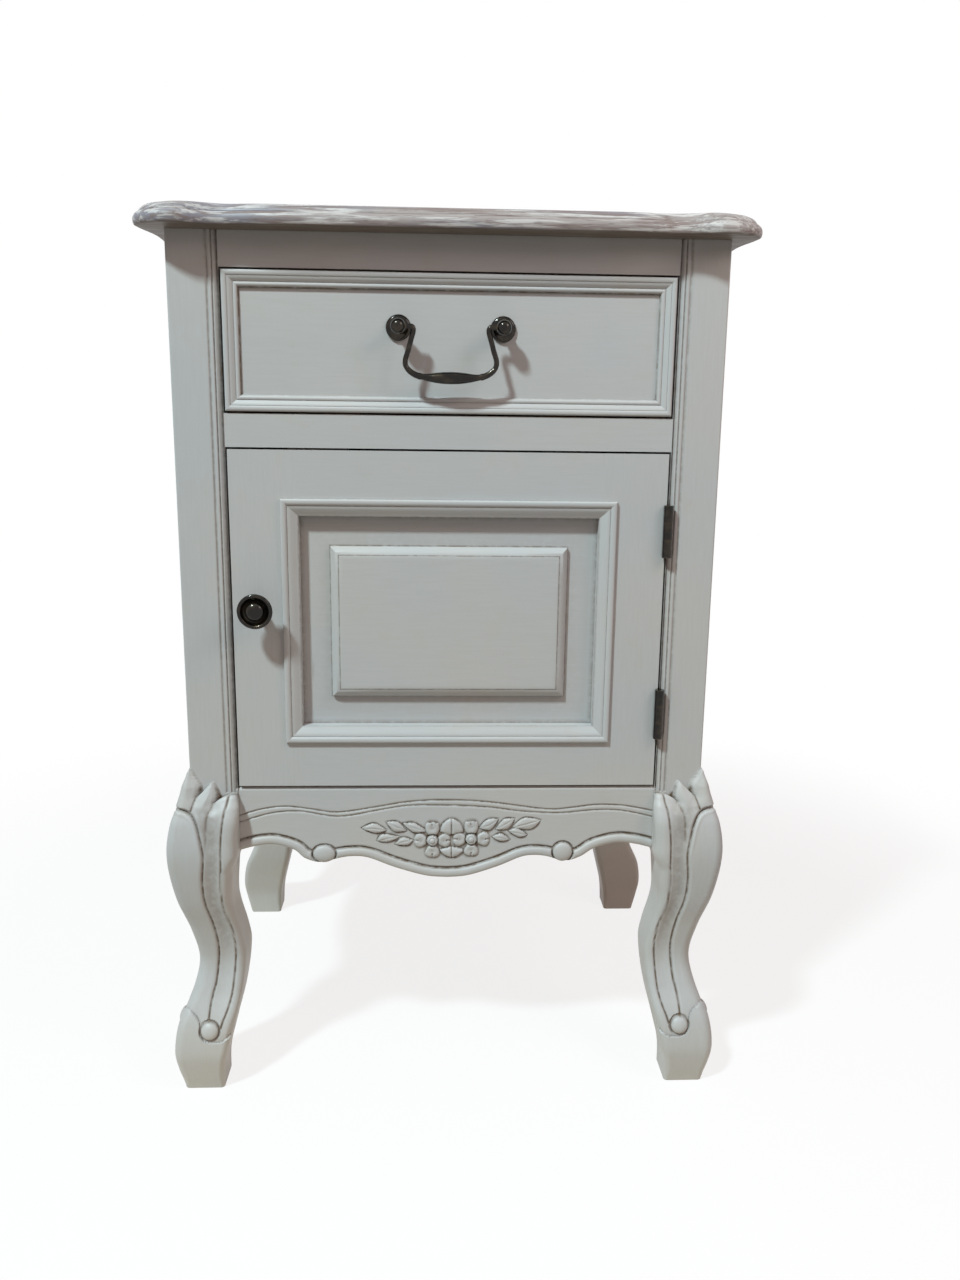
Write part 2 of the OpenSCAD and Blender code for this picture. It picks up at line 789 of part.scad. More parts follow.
// The four lengths of a frame w by h round a centre at height z
module frame_side(which, w, h, z, mould_w, section) {
    turn = which == "bottom" ? 0 : which == "right" ? 1 : which == "top" ? 2 : 3;
    across = turn % 2 == 0 ? h : w;
    along = turn % 2 == 0 ? w : h;
    translate([0, 0, z]) rotate([0, -90 * turn, 0]) translate([0, 0, -across / 2])
        mitred(along, mould_w, section);
}
module drawer_mould(which) {
    color(paint) place() translate([0, drawer_set, 0])
        frame_side(which, 2 * front_x, drawer_h, drawer_z + drawer_h / 2, drawer_mould_w, drawer_section);
}
module door_mould(which) {
    color(paint) place()
        frame_side(which, 2 * (front_x - stile_w + door_mould_w), door_h - 2 * (door_rail_h - door_mould_w),
            door_z + door_h / 2, door_mould_w, door_section);
}

// ---- Door ----

door_top_z = door_z + door_h;
panel_x = front_x - stile_w;
groove_y = [panel_set, panel_set + panel_t];
module door_groove(c = 0) {
    box([-panel_x - panel_groove, groove_y[0], door_z + door_rail_h - panel_groove],
        [panel_x + panel_groove, groove_y[1], door_top_z - door_rail_h + panel_groove], c);
}
module mould_rebate() {
    reach = door_mould_w - mould_lap + joint_clear;
    box([-panel_x - reach, -1, door_z + door_rail_h - reach],
        [panel_x + reach, mould_sink, door_top_z - door_rail_h + reach]);
}
module rail_tongues(c = 0) {
    for (z = [door_z, door_top_z - door_rail_h])
        box([-panel_x - panel_groove, groove_y[0], z],
            [panel_x + panel_groove, groove_y[1], z + door_rail_h], c);
}
module stile() {
    difference() {
        box([panel_x, 0, door_z], [front_x, door_t, door_top_z]);
        door_groove(joint_clear);
        rail_tongues(joint_clear);
        mould_rebate();
    }
}
module door_stile_right() {
    color(paint) place() difference() {
        stile();
        for (z = hinge_zs) {
            leaf_recess(z, -1);
            translate([hinge_x - leaf_clear / 2 - leaf_t, 0, z]) mirror([1, 0, 0])
                leaf_screw_places() screw_hole(hinge_screw_l);
        }
    }
}
module door_stile_left() {
    color(paint) place() difference() {
        mirror([1, 0, 0]) stile();
        translate([0, -1, 0]) knob_place() through_hole(door_t + 2);
    }
}
module door_rail(z) {
    difference() {
        union() {
            box([-panel_x, 0, z], [panel_x, door_t, z + door_rail_h]);
            intersection() {
                rail_tongues();
                box([-front_x, 0, z], [front_x, door_t, z + door_rail_h]);
            }
        }
        door_groove(joint_clear);
        mould_rebate();
    }
}
module door_rail_top() {
    color(paint) place() door_rail(door_top_z - door_rail_h);
}
module door_rail_bottom() {
    color(paint) place() door_rail(door_z);
}
module door_panel() {
    edge = [panel_x + panel_groove - panel_play, door_h / 2 - door_rail_h + panel_groove - panel_play];
    foot = [panel_x - field_w, door_h / 2 - door_rail_h - field_w];
    flat = foot - [bevel_w, bevel_w];
    mid_z = door_z + door_h / 2;
    color(paint) place() union() {
        box([-edge.x, groove_y[0], mid_z - edge.y], [edge.x, groove_y[1], mid_z + edge.y]);
        hull() {
            box([-foot.x, groove_y[0] - raise_step, mid_z - foot.y],
                [foot.x, groove_y[0] + 1, mid_z + foot.y]);
            box([-flat.x, groove_y[0] - raise_up, mid_z - flat.y], [flat.x, groove_y[0], mid_z + flat.y]);
        }
    }
}

// ---- Hinges ----

hinge_x = open_x - gap / 2;
knuckle_play = 0.2;
hinge_y = -knuckle_d / 2 - knuckle_play;
hinge_zs = [door_z + hinge_lower_z, door_z + hinge_upper_z];
leaf_in_x = hinge_x + leaf_clear / 2;
knuckle_h = hinge_h / 3;
hinge_screw_l = 14;

// Room for a leaf in the post (side 1) or in the door's edge (side -1)
module leaf_recess(z, side) {
    x0 = side > 0 ? leaf_in_x : hinge_x - leaf_clear / 2 - leaf_t;
    box([x0, -1, z - hinge_h / 2], [x0 + leaf_t, leaf_w, z + hinge_h / 2], joint_clear / 2);
}
module leaf_screw_places() {
    for (dz = [-0.32, 0.32])
        translate([0, leaf_w * 0.55, dz * hinge_h]) rotate([0, 90, 0]) translate([0, 0, -leaf_t]) children();
}
module knuckle(k) {
    h = knuckle_h - knuckle_clear;
    translate([hinge_x, hinge_y, (k - 1) * knuckle_h - h / 2]) cylinder(h = h, d = knuckle_d);
}
module pin_bore() {
    translate([hinge_x, hinge_y, -hinge_h]) cylinder(h = 2 * hinge_h, d = pin_d + 2 * pin_clear);
}

// A leaf with its knuckles. The frame's leaf has the outer two, the door's leaf the middle one
module leaf(side) {
    knuckles = side > 0 ? [0, 2] : [1];
    x0 = side > 0 ? leaf_in_x : hinge_x - leaf_clear / 2 - leaf_t;
    h = knuckle_h - knuckle_clear;
    difference() {
        union() {
            box([x0, 0, -hinge_h / 2], [x0 + leaf_t, leaf_w, hinge_h / 2]);
            for (k = knuckles) {
                knuckle(k);
                box([x0, hinge_y, (k - 1) * knuckle_h - h / 2],
                    [x0 + leaf_t, 1, (k - 1) * knuckle_h + h / 2]);
            }
        }
        pin_bore();
        if (side > 0) translate([leaf_in_x + leaf_t, 0, 0]) leaf_screw_places() screw_hole(hinge_screw_l);
        if (side < 0) translate([x0, 0, 0]) mirror([1, 0, 0]) leaf_screw_places() screw_hole(hinge_screw_l);
    }
}
module hinge_leaf(z, side) {
    color(bronze) place() translate([0, 0, z]) leaf(side);
}
module hinge_pin(z) {
    color(bronze) place() translate([hinge_x, hinge_y, z - hinge_h / 2]) cylinder(h = hinge_h, d = pin_d);
}
module hinge_screws(side) {
    color(bronze) place() for (z = hinge_zs) {
        if (side > 0) translate([leaf_in_x + leaf_t, 0, z]) leaf_screw_places() wood_screw(hinge_screw_l);
        if (side < 0) translate([hinge_x - leaf_clear / 2 - leaf_t, 0, z]) mirror([1, 0, 0])
            leaf_screw_places() wood_screw(hinge_screw_l);
    }
}

// ---- Handle and knob ----

pivot_z = drawer_z + handle_z;
tip_x = handle_cc / 2 - 0.3 * ball_d;
module handle_places() {
    for (s = [-1, 1]) translate([s * handle_cc / 2, drawer_set, pivot_z]) children();
}
module knob_place() {
    translate([-front_x + knob_x, 0, door_z + knob_z]) children();
}
module through_hole(l) {
    rotate([-90, 0, 0]) cylinder(h = l, d = machine_d + 2 * screw_clear);
}

// A turned shape along -Y from the face y = 0, from radius and height pairs
module turned(points) {
    rotate([90, 0, 0]) rotate_extrude() polygon(points);
}
machine_in = 8;
head_d = 8;
head_t = 2.4;
module machine_screw(t) {
    union() {
        translate([0, -machine_in, 0]) rotate([-90, 0, 0]) cylinder(h = machine_in + t + 1, d = machine_d);
        translate([0, t, 0]) rotate([-90, 0, 0]) cylinder(h = head_t, d = head_d);
    }
}
// The ball's bore for the bail's tip ends this far from the ball's centre
tip_room = 0.2 * ball_d;
module handle_post() {
    rose_r = rose_d / 2;
    neck_r = 0.33 * ball_d;
    difference() {
        union() {
            turned([[0, 0], [rose_r - 0.6, 0], [rose_r, 0.8], [rose_r - 0.4, 2], [rose_r - 1.6, 2.9],
                [neck_r + 1.2, 3.4], [neck_r, 4.4], [neck_r, pivot_out], [0, pivot_out]]);
            translate([0, -pivot_out, 0]) sphere(d = ball_d);
        }
        translate([0, -machine_in, 0]) through_hole(machine_in + 1);
        translate([-tip_room, -pivot_out, 0]) rotate([0, -90, 0])
            cylinder(h = ball_d, d = bail_d + 2 * pin_clear);
    }
}
module handle_post_right() {
    color(bronze) place() translate([handle_cc / 2, drawer_set, pivot_z]) handle_post();
}
module handle_post_left() {
    color(bronze) place() mirror([1, 0, 0]) translate([handle_cc / 2, drawer_set, pivot_z]) handle_post();
}
module handle_screws() {
    color(steel) place() handle_places() machine_screw(drawer_front_t);
}

// Right half of the bail's wire, from its tip in the ball to the grip
grip_half = 23;
// The wire is this much thicker at its bends
bend_swell = 0.16;
bail_path = [
    [tip_x, 0], [handle_cc / 2 - 9.6, 0], [handle_cc / 2 - 10.8, -2.6],
    [handle_cc / 2 - 7.2, -0.48 * bail_drop], [handle_cc / 2 - 5.1, -0.67 * bail_drop],
    [handle_cc / 2 - 6.4, -0.79 * bail_drop], [handle_cc / 2 - 10, -0.89 * bail_drop],
    [grip_half, -0.96 * bail_drop]
];
module rod(a, b, d) {
    v = b - a;
    translate([a.x, 0, a.y]) rotate([0, atan2(v.x, v.y), 0]) cylinder(h = norm(v), d = d);
}
module bail() {
    last = len(bail_path) - 1;
    r = grip_d / 2;
    end_r = 0.97 * bail_d / 2;
    color(bronze) place() translate([0, drawer_set - pivot_out, pivot_z]) union() {
        both() {
            for (i = [0 : last - 1]) rod(bail_path[i], bail_path[i + 1], bail_d);
            for (i = [1 : last]) translate([bail_path[i].x, 0, bail_path[i].y])
                sphere(d = bail_d + bend_swell);
        }
        translate([0, 0, -bail_drop]) rotate([0, 90, 0]) rotate_extrude() polygon([
            [0, -grip_half - 1], [0.9 * end_r, -grip_half - 0.6], [end_r, -grip_half + 3],
            [0.72 * r, -0.62 * grip_half],
            [0.93 * r, -0.3 * grip_half], [r, 0], [0.93 * r, 0.3 * grip_half], [0.72 * r, 0.62 * grip_half],
            [end_r, grip_half - 3], [0.9 * end_r, grip_half + 0.6], [0, grip_half + 1]
        ]);
    }
}
module door_knob() {
    r = knob_d / 2;
    neck_l = knob_out - 9;
    color(bronze) place() knob_place() difference() {
        turned([[0, 0], [7, 0], [7, 1.5], [4.6, 3.5], [4, neck_l - 3], [5.5, neck_l], [r - 1.6, neck_l + 1.6],
            [r - 0.3, neck_l + 3.2], [r, neck_l + 5], [r - 0.8, neck_l + 6.4], [r - 2.6, neck_l + 6.8],
            [r - 5, neck_l + 5.4], [0.52 * r, neck_l + 5.4], [0.44 * r, neck_l + 7.6],
            [0.26 * r, neck_l + 8.7], [0, knob_out]]);
        translate([0, -machine_in, 0]) through_hole(machine_in + 1);
    }
}
module knob_screw() {
    color(steel) place() knob_place() machine_screw(door_t);
}

// ---- Catch ----

// The catch hangs under the middle rail, behind the door. Its strike is on the door's top rail
catch_y = door_t + strike_t + catch_clear;
module magnetic_catch() {
    color(catch_plastic) place()
        translate([-catch_x - catch_l / 2, catch_y, mid_rail_z - catch_h]) cube([catch_l, catch_d, catch_h]);
}
module catch_strike() {
    color(steel) place()
        translate([-catch_x - strike_l / 2, door_t, door_top_z - strike_h])
            cube([strike_l, strike_t, strike_h]);
}

top_panel();
leg_front_left();
leg_front_right();
leg_back_left();
leg_back_right();
side_panel_left();
side_panel_right();
side_apron_left();
side_apron_right();
front_apron();
mid_rail();
frieze_rail();
back_top_rail();
back_bottom_rail();
back_panel();
floor_panel();
floor_cleat_left();
floor_cleat_right();
drawer_runner_left();
drawer_runner_right();
kicker_left();
kicker_right();
drawer_stops();
top_screws();
back_panel_screws();
hinge_leaf(hinge_zs[1], 1);  // hinge_upper_frame_leaf
hinge_leaf(hinge_zs[0], 1);  // hinge_lower_frame_leaf
hinge_pin(hinge_zs[1]);  // hinge_upper_pin
hinge_pin(hinge_zs[0]);  // hinge_lower_pin
hinge_screws(1);  // hinge_frame_screws
magnetic_catch();
door_stile_left();
door_stile_right();
door_rail_top();
door_rail_bottom();
door_panel();
door_mould("top");  // door_moulding_top
door_mould("bottom");  // door_moulding_bottom
door_mould("left");  // door_moulding_left
door_mould("right");  // door_moulding_right
hinge_leaf(hinge_zs[1], -1);  // hinge_upper_door_leaf
hinge_leaf(hinge_zs[0], -1);  // hinge_lower_door_leaf
hinge_screws(-1);  // hinge_door_screws
door_knob();
knob_screw();
catch_strike();
drawer_front();
drawer_side_left();
drawer_side_right();
drawer_back();
drawer_bottom();
drawer_mould("top");  // drawer_moulding_top
drawer_mould("bottom");  // drawer_moulding_bottom
drawer_mould("left");  // drawer_moulding_left
drawer_mould("right");  // drawer_moulding_right
handle_post_left();
handle_post_right();
handle_screws();
bail();
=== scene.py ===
import json
import math
import bpy
import bmesh
import numpy as np
from mathutils import Matrix, Vector


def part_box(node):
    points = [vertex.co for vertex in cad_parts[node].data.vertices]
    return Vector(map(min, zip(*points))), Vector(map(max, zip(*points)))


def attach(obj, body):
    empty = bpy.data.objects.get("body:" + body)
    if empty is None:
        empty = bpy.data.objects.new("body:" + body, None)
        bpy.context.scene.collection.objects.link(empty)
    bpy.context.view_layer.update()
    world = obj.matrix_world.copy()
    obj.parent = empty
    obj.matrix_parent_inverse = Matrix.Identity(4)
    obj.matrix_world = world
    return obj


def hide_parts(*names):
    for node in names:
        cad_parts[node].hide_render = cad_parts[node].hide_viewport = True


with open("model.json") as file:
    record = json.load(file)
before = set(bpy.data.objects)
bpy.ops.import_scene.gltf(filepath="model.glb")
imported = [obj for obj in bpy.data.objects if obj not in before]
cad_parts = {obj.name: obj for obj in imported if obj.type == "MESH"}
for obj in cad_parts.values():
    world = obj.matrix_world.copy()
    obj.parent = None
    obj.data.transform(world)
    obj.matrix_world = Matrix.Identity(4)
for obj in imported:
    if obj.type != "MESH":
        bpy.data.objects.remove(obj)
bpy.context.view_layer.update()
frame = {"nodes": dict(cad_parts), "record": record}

MM = 0.001
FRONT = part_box("door_stile_left")[0].y
CASE_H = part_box("top_panel")[0].z / MM
DOOR_LO, DOOR_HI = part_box("door_stile_left")[0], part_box("door_stile_right")[1]
DRAWER_LO, DRAWER_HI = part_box("drawer_front")
DOOR_Z = (DOOR_LO.z + DOOR_HI.z) / 2 / MM
DRAWER_Z = (DRAWER_LO.z + DRAWER_HI.z) / 2 / MM
DRAWER_Y = (DRAWER_LO.y - FRONT) / MM
FRONT_X = DRAWER_HI.x / MM
STILE_W = 51.0
RAIL_H = (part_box("door_rail_bottom")[1].z - DOOR_LO.z) / MM
# Half the width and half the height of the opening inside the door's frame
PANEL_X = FRONT_X - STILE_W
PANEL_Z = (DOOR_HI.z - DOOR_LO.z) / 2 / MM - RAIL_H
POST_W = 37.0
# The side panels lie this far in from the posts' outer faces, and reach this far into the posts
SIDE_SET = 4.5
SIDE_TONGUE = 6.0
CASE_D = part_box("side_panel_left")[1].y / MM - FRONT / MM + POST_W - SIDE_TONGUE
HALF_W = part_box("side_panel_right")[1].x / MM + SIDE_SET
OPEN_X = HALF_W - POST_W
APRON_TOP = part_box("front_apron")[1].z / MM
BODIES = frame["record"]["behaviour"]["bodies"]
SLOTS = {p["node"]: p["material_slot"] for p in frame["record"]["subparts"]}


# ---- Small helpers ----

def to_frame(points):
    """Millimetres in the case's own frame, turned to the frame's metres."""
    return np.asarray(points, dtype=float) * MM + np.array([0.0, FRONT, 0.0])


def body_of(node_name):
    return next(b for b, names in BODIES.items() if node_name in names)


def spline(points, n=4):
    """A Catmull-Rom curve through points, with n steps between each pair."""
    p = np.asarray(points, dtype=float)
    out = []
    for i in range(len(p) - 1):
        a, b = p[max(i - 1, 0)], p[i]
        c, d = p[i + 1], p[min(i + 2, len(p) - 1)]
        for k in range(n):
            t = k / n
            out.append(0.5 * (2 * b + (c - a) * t + (2 * a - 5 * b + 4 * c - d) * t ** 2
                              + (3 * b - a - 3 * c + d) * t ** 3))
    out.append(p[-1])
    return np.array(out)


def smooth_step(x, lo, hi):
    """0 up to lo and 1 from hi on, with a smooth rise between them."""
    t = np.clip((x - lo) / (hi - lo), 0, 1)
    return t * t * (3 - 2 * t)


def ridge(d, w):
    """1 on a line, falling off over the width w."""
    return np.exp(-(d / w) ** 2)


def dome(u):
    """The height of a half circle over u: 1 at 0, and 0 from 1 outward."""
    return np.sqrt(np.clip(1 - u ** 2, 0, 1))


def pillow(d, half):
    """A rounded rise from 0 at an edge to 1 at the distance half inside it."""
    return dome(1 - np.clip(d / half, 0, 1))


def follow(pairs, at):
    """The value at a place, read off pairs of a place and a value."""
    return np.interp(at, *zip(*pairs))


def to_line(x, y, line):
    """Distance from each point to a polyline."""
    best = np.full(np.shape(x), 1e9)
    for (x0, y0), (x1, y1) in zip(line[:-1], line[1:]):
        dx, dy = x1 - x0, y1 - y0
        t = np.clip(((x - x0) * dx + (y - y0) * dy) / (dx * dx + dy * dy + 1e-9), 0, 1)
        best = np.minimum(best, np.hypot(x - x0 - t * dx, y - y0 - t * dy))
    return best


def inside(x, y, poly):
    """Which points lie inside a closed polygon."""
    hit = np.zeros(np.shape(x), dtype=bool)
    for (x0, y0), (x1, y1) in zip(poly, np.roll(poly, -1, axis=0)):
        if y0 == y1:
            continue
        crosses = (y0 > y) != (y1 > y)
        hit ^= crosses & (x < (x1 - x0) * (y - y0) / (y1 - y0) + x0)
    return hit


def blur(grid, n):
    """A soft blur over a grid, n cells to each side, for finding hollows."""
    out = grid.astype(float)
    for axis in (0, 1):
        pad = [(n, n) if a == axis else (0, 0) for a in (0, 1)]
        size = out.shape[axis]
        for _ in range(2):
            total = np.cumsum(np.pad(out, pad, mode="edge"), axis=axis)
            upper = np.take(total, range(2 * n, 2 * n + size), axis=axis)
            lower = np.insert(np.take(total, range(size - 1), axis=axis), 0, 0, axis=axis)
            out = (upper - lower) / (2 * n + 1)
    return out


def loft_faces(rows, cols):
    """Four-sided faces between rings that each close on themselves."""
    r, c = np.meshgrid(np.arange(rows - 1), np.arange(cols), indexing="ij")
    c2 = (c + 1) % cols
    quads = np.stack([r * cols + c, r * cols + c2, (r + 1) * cols + c2, (r + 1) * cols + c], axis=-1)
    return quads.reshape(-1, 4).tolist()


def add_object(name, data):
    obj = bpy.data.objects.new(name, data)
    bpy.context.scene.collection.objects.link(obj)
    return obj


def shade(mesh, sharp):
    """Smooth shading, with creases where the faces turn by more than sharp degrees."""
    mesh.polygons.foreach_set("use_smooth", [True] * len(mesh.polygons))
    mesh.set_sharp_from_angle(angle=math.radians(sharp))


def dress(name, mesh, nodes, material):
    """An object with one material that stands for the CAD nodes and rides with their body."""
    obj = add_object(name, mesh)
    mesh.materials.clear()
    mesh.materials.append(material)
    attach(obj, body_of(nodes[0]))
    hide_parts(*nodes)


def add_loft(name, rings, nodes, material, sharp, glaze_and_shade=None):
    """A closed skin through rings of equal length, capped at both ends, with glaze and painted shade at each
    point.
    """
    rings = np.asarray(rings, dtype=float)
    rows, cols = rings.shape[:2]
    faces = loft_faces(rows, cols)
    faces.append(list(range(cols - 1, -1, -1)))
    faces.append([(rows - 1) * cols + i for i in range(cols)])
    mesh = bpy.data.meshes.new(name)
    mesh.from_pydata(to_frame(rings.reshape(-1, 3)).tolist(), [], faces)
    mesh.validate()
    bm = bmesh.new()
    bm.from_mesh(mesh)
    bmesh.ops.recalc_face_normals(bm, faces=bm.faces)
    bm.to_mesh(mesh)
    bm.free()
    shade(mesh, sharp)
    if glaze_and_shade is not None:
        layer = mesh.attributes.new("glaze_and_shade", "FLOAT", "POINT")
        layer.data.foreach_set("value", np.clip(np.ravel(glaze_and_shade), 0, 1))
    dress(name, mesh, nodes, material)


# In radians: edges sharper than the first are eased, and faces flatter than the second are joined
SHARP_ANGLE = 0.9
FLAT_ANGLE = 0.01


def eased(name, width, pick, material):
    """A CAD board with the sharp edges that pick accepts rounded over."""
    bm = bmesh.new()
    bm.from_mesh(frame["nodes"][name].data)
    bmesh.ops.dissolve_limit(bm, angle_limit=FLAT_ANGLE, verts=bm.verts, edges=bm.edges)
    chosen = []
    for e in bm.edges:
        if len(e.link_faces) == 2 and e.is_convex and e.calc_face_angle(0) > SHARP_ANGLE:
            a, b = (Vector((v.co.x / MM, (v.co.y - FRONT) / MM, v.co.z / MM)) for v in e.verts)
            if pick(a, b):
                chosen.append(e)
    bmesh.ops.bevel(bm, geom=chosen, offset=width * MM, segments=2, profile=0.5,
                    affect="EDGES", clamp_overlap=False)
    mesh = bpy.data.meshes.new(name + "_eased")
    bm.to_mesh(mesh)
    bm.free()
    shade(mesh, 40)
    dress(name + "_board", mesh, [name], material)


# ---- Materials ----

def srgb(r, g, b):
    """A colour from 0 to 255 as the eye reads it, turned to linear light."""
    def one(v):
        v /= 255
        return v / 12.92 if v <= 0.04045 else ((v + 0.055) / 1.055) ** 2.4
    return (one(r), one(g), one(b), 1.0)


class Tree:
    """The shader nodes of a material or of the world."""

    def __init__(self, owner, output="OutputMaterial"):
        self.owner = owner
        owner.use_nodes = True
        self.tree = owner.node_tree
        self.tree.nodes.clear()
        self.out = self.add(output)

    def add(self, kind, inputs=None, **props):
        n = self.tree.nodes.new("ShaderNode" + kind)
        for key, value in props.items():
            setattr(n, key, value)
        for key, value in (inputs or {}).items():
            if isinstance(value, bpy.types.NodeSocket):
                self.tree.links.new(value, n.inputs[key])
            else:
                n.inputs[key].default_value = value
        return n

    def show(self, shader):
        self.tree.links.new(shader.outputs[0], self.out.inputs["Surface"])
        return self.owner

    def place(self):
        return self.add("TexCoord").outputs["Object"]

    def noise(self, scale, stretch=(1, 1, 1), detail=4.0, rough=0.55, shift=0.0, warp=0.0):
        """Cloudy noise, scale to the metre, drawn out along the axes where stretch is small."""
        at = self.add("Mapping", {"Vector": self.place(), "Scale": stretch, "Location": [shift] * 3})
        return self.add("TexNoise", {"Vector": at.outputs[0], "Scale": scale, "Detail": detail,
                                     "Roughness": rough, "Distortion": warp}).outputs[0]

    def remap(self, value, lo, hi, to_lo=0.0, to_hi=1.0):
        """A smooth step from to_lo at lo to to_hi at hi."""
        return self.add("MapRange", {"Value": value, "From Min": lo, "From Max": hi, "To Min": to_lo,
                                     "To Max": to_hi}, interpolation_type="SMOOTHSTEP").outputs[0]

    def math(self, kind, a, b=0.0):
        return self.add("Math", {0: a, 1: b}, operation=kind).outputs[0]

    def times(self, a, b):
        return self.math("MULTIPLY", a, b)

    def mix(self, factor, a, b):
        """The colour a at 0 and the colour b at 1."""
        return self.add("Mix", {0: factor, 6: a, 7: b}, data_type="RGBA", blend_type="MIX").outputs[2]

    def cavity(self, distance, inner=False):
        """1 deep in a crease, or on a convex edge with inner, and 0 in the open."""
        ao = self.add("AmbientOcclusion", {"Distance": distance * MM}, samples=6, inside=inner)
        return self.math("SUBTRACT", 1.0, ao.outputs["AO"])

    def surface(self, colour, roughness, height, bump, depth, **fixed):
        """The finished material, with a fine bump of a depth in millimetres."""
        shader = self.add("BsdfPrincipled", {"Base Color": colour, "Roughness": roughness, **fixed})
        relief = self.add("Bump", {"Strength": bump, "Distance": depth * MM, "Height": height})
        self.tree.links.new(relief.outputs[0], shader.inputs["Normal"])
        return self.show(shader)


def new_material(name):
    return Tree(bpy.data.materials.new(name))


PAINT = srgb(191, 190, 189)
PAINT_COOL = srgb(187, 189, 191)
PAINT_WARM = srgb(188, 182, 172)
BRUSH_MARK = srgb(160, 156, 146)
GLAZE_AND_SHADE = srgb(92, 73, 52)
RUB = srgb(140, 118, 88)
FLECK = srgb(135, 120, 98)


def paint(name, along):
    """Antique off-white paint, brushed along one axis, with brown glaze and painted shade in the creases."""
    t = new_material(name)
    stretch = {"x": (0.06, 1, 1), "z": (1, 1, 0.06), "y": (1, 0.06, 1)}[along]
    broad = t.noise(7.0, detail=3.0)
    patch = t.noise(38.0, detail=5.0, rough=0.62, shift=3.0)
    brush = t.noise(620.0, stretch, detail=3.0, rough=0.6)
    fleck = t.noise(900.0, detail=2.0, shift=7.0)
    colour = t.mix(t.remap(broad, 0.35, 0.65), PAINT, PAINT_COOL)
    colour = t.mix(t.remap(patch, 0.52, 0.8, 0.0, 0.35), colour, PAINT_WARM)
    colour = t.mix(t.remap(brush, 0.3, 0.7, 0.0, 0.10), colour, BRUSH_MARK)
    # Brown glaze and painted shade lie in the creases that the renderer finds by occlusion, and where the
    # pieces carry them
    crease = t.remap(t.cavity(2.6), 0.30, 0.85)
    carried = t.add("Attribute", attribute_name="glaze_and_shade").outputs["Fac"]
    break_up = t.remap(t.noise(210.0, detail=4.0, shift=11.0), 0.3, 0.6, 0.45, 1.0)
    glaze_and_shade = t.times(t.math("MAXIMUM", t.times(crease, 0.8), carried), break_up)
    # The paint is rubbed off here and there along the edges
    edge = t.remap(t.cavity(1.3, inner=True), 0.42, 0.75)
    scuff = t.remap(t.noise(75.0, detail=6.0, rough=0.7, shift=5.0), 0.56, 0.66)
    rub = t.times(t.times(edge, scuff), 0.75)
    colour = t.mix(rub, colour, RUB)
    colour = t.mix(glaze_and_shade, colour, GLAZE_AND_SHADE)
    colour = t.mix(t.remap(fleck, 0.73, 0.78, 0.0, 0.35), colour, FLECK)
    height = t.math("ADD", t.times(brush, 0.7), t.times(patch, 0.6))
    return t.surface(colour, t.remap(patch, 0.3, 0.7, 0.42, 0.56), height, bump=0.22, depth=0.12, IOR=1.45)


WOOD_GREY = srgb(131, 128, 136)
WOOD_PINK = srgb(156, 147, 145)
WOOD_STREAK = srgb(124, 108, 104)
WOOD_LIME = srgb(203, 200, 199)
WOOD_PORE = srgb(104, 94, 94)
WOOD_CREASE_SHADE = srgb(120, 105, 98)
WOOD_EDGE_HIGHLIGHT = srgb(198, 195, 193)
WOOD_UNDER_SHADE = srgb(96, 82, 68)


def washed_wood():
    """The top: lime-washed wood, its grain running along the width, with painted shade in its creases,
    painted brown shade underneath and a painted highlight on its edges.
    """
    t = new_material("washed_wood")
    wide = t.noise(60.0, (0.08, 1, 1), detail=5.0, rough=0.6, warp=0.15)
    fine = t.noise(230.0, (0.06, 1, 1), detail=5.0, rough=0.65, shift=4.0)
    white = t.noise(310.0, (0.06, 1, 1), detail=4.0, rough=0.6, shift=14.0)
    pores = t.noise(900.0, (0.12, 1, 1), detail=3.0, rough=0.6, shift=9.0)
    patch = t.remap(t.noise(11.0, (0.6, 1, 1), detail=3.0, shift=21.0), 0.4, 0.6)
    colour = t.mix(t.remap(wide, 0.42, 0.58), WOOD_GREY, WOOD_PINK)
    colour = t.mix(t.remap(fine, 0.48, 0.6, 0.0, 0.85), colour, WOOD_STREAK)
    share = t.math("ADD", t.times(patch, 0.3), 0.7)
    colour = t.mix(t.times(t.remap(white, 0.48, 0.6), share), colour, WOOD_LIME)
    colour = t.mix(t.remap(pores, 0.56, 0.68, 0.0, 0.55), colour, WOOD_PORE)
    # Painted shade in the creases of the top's edge
    colour = t.mix(t.remap(t.cavity(1.6), 0.3, 0.8, 0.0, 0.6), colour, WOOD_CREASE_SHADE)
    # Painted highlight along the convex edges
    colour = t.mix(t.remap(t.cavity(1.2, inner=True), 0.4, 0.8, 0.0, 0.5), colour, WOOD_EDGE_HIGHLIGHT)
    facing_up = t.add("SeparateXYZ", {0: t.add("NewGeometry").outputs["Normal"]}).outputs["Z"]
    # Painted shade, brown, on the faces that look down
    colour = t.mix(t.remap(facing_up, -0.9, -0.5, 0.85, 0.0), colour, WOOD_UNDER_SHADE)
    height = t.math("ADD", t.times(fine, 0.5), t.times(pores, -0.7))
    return t.surface(colour, t.remap(fine, 0.3, 0.7, 0.42, 0.58), height, bump=0.35, depth=0.15)


BARE_LIGHT = srgb(222, 200, 163)
BARE_RING = srgb(203, 178, 140)
BARE_FIBRE = srgb(176, 146, 106)
BARE_CREASE_SHADE = srgb(120, 95, 66)


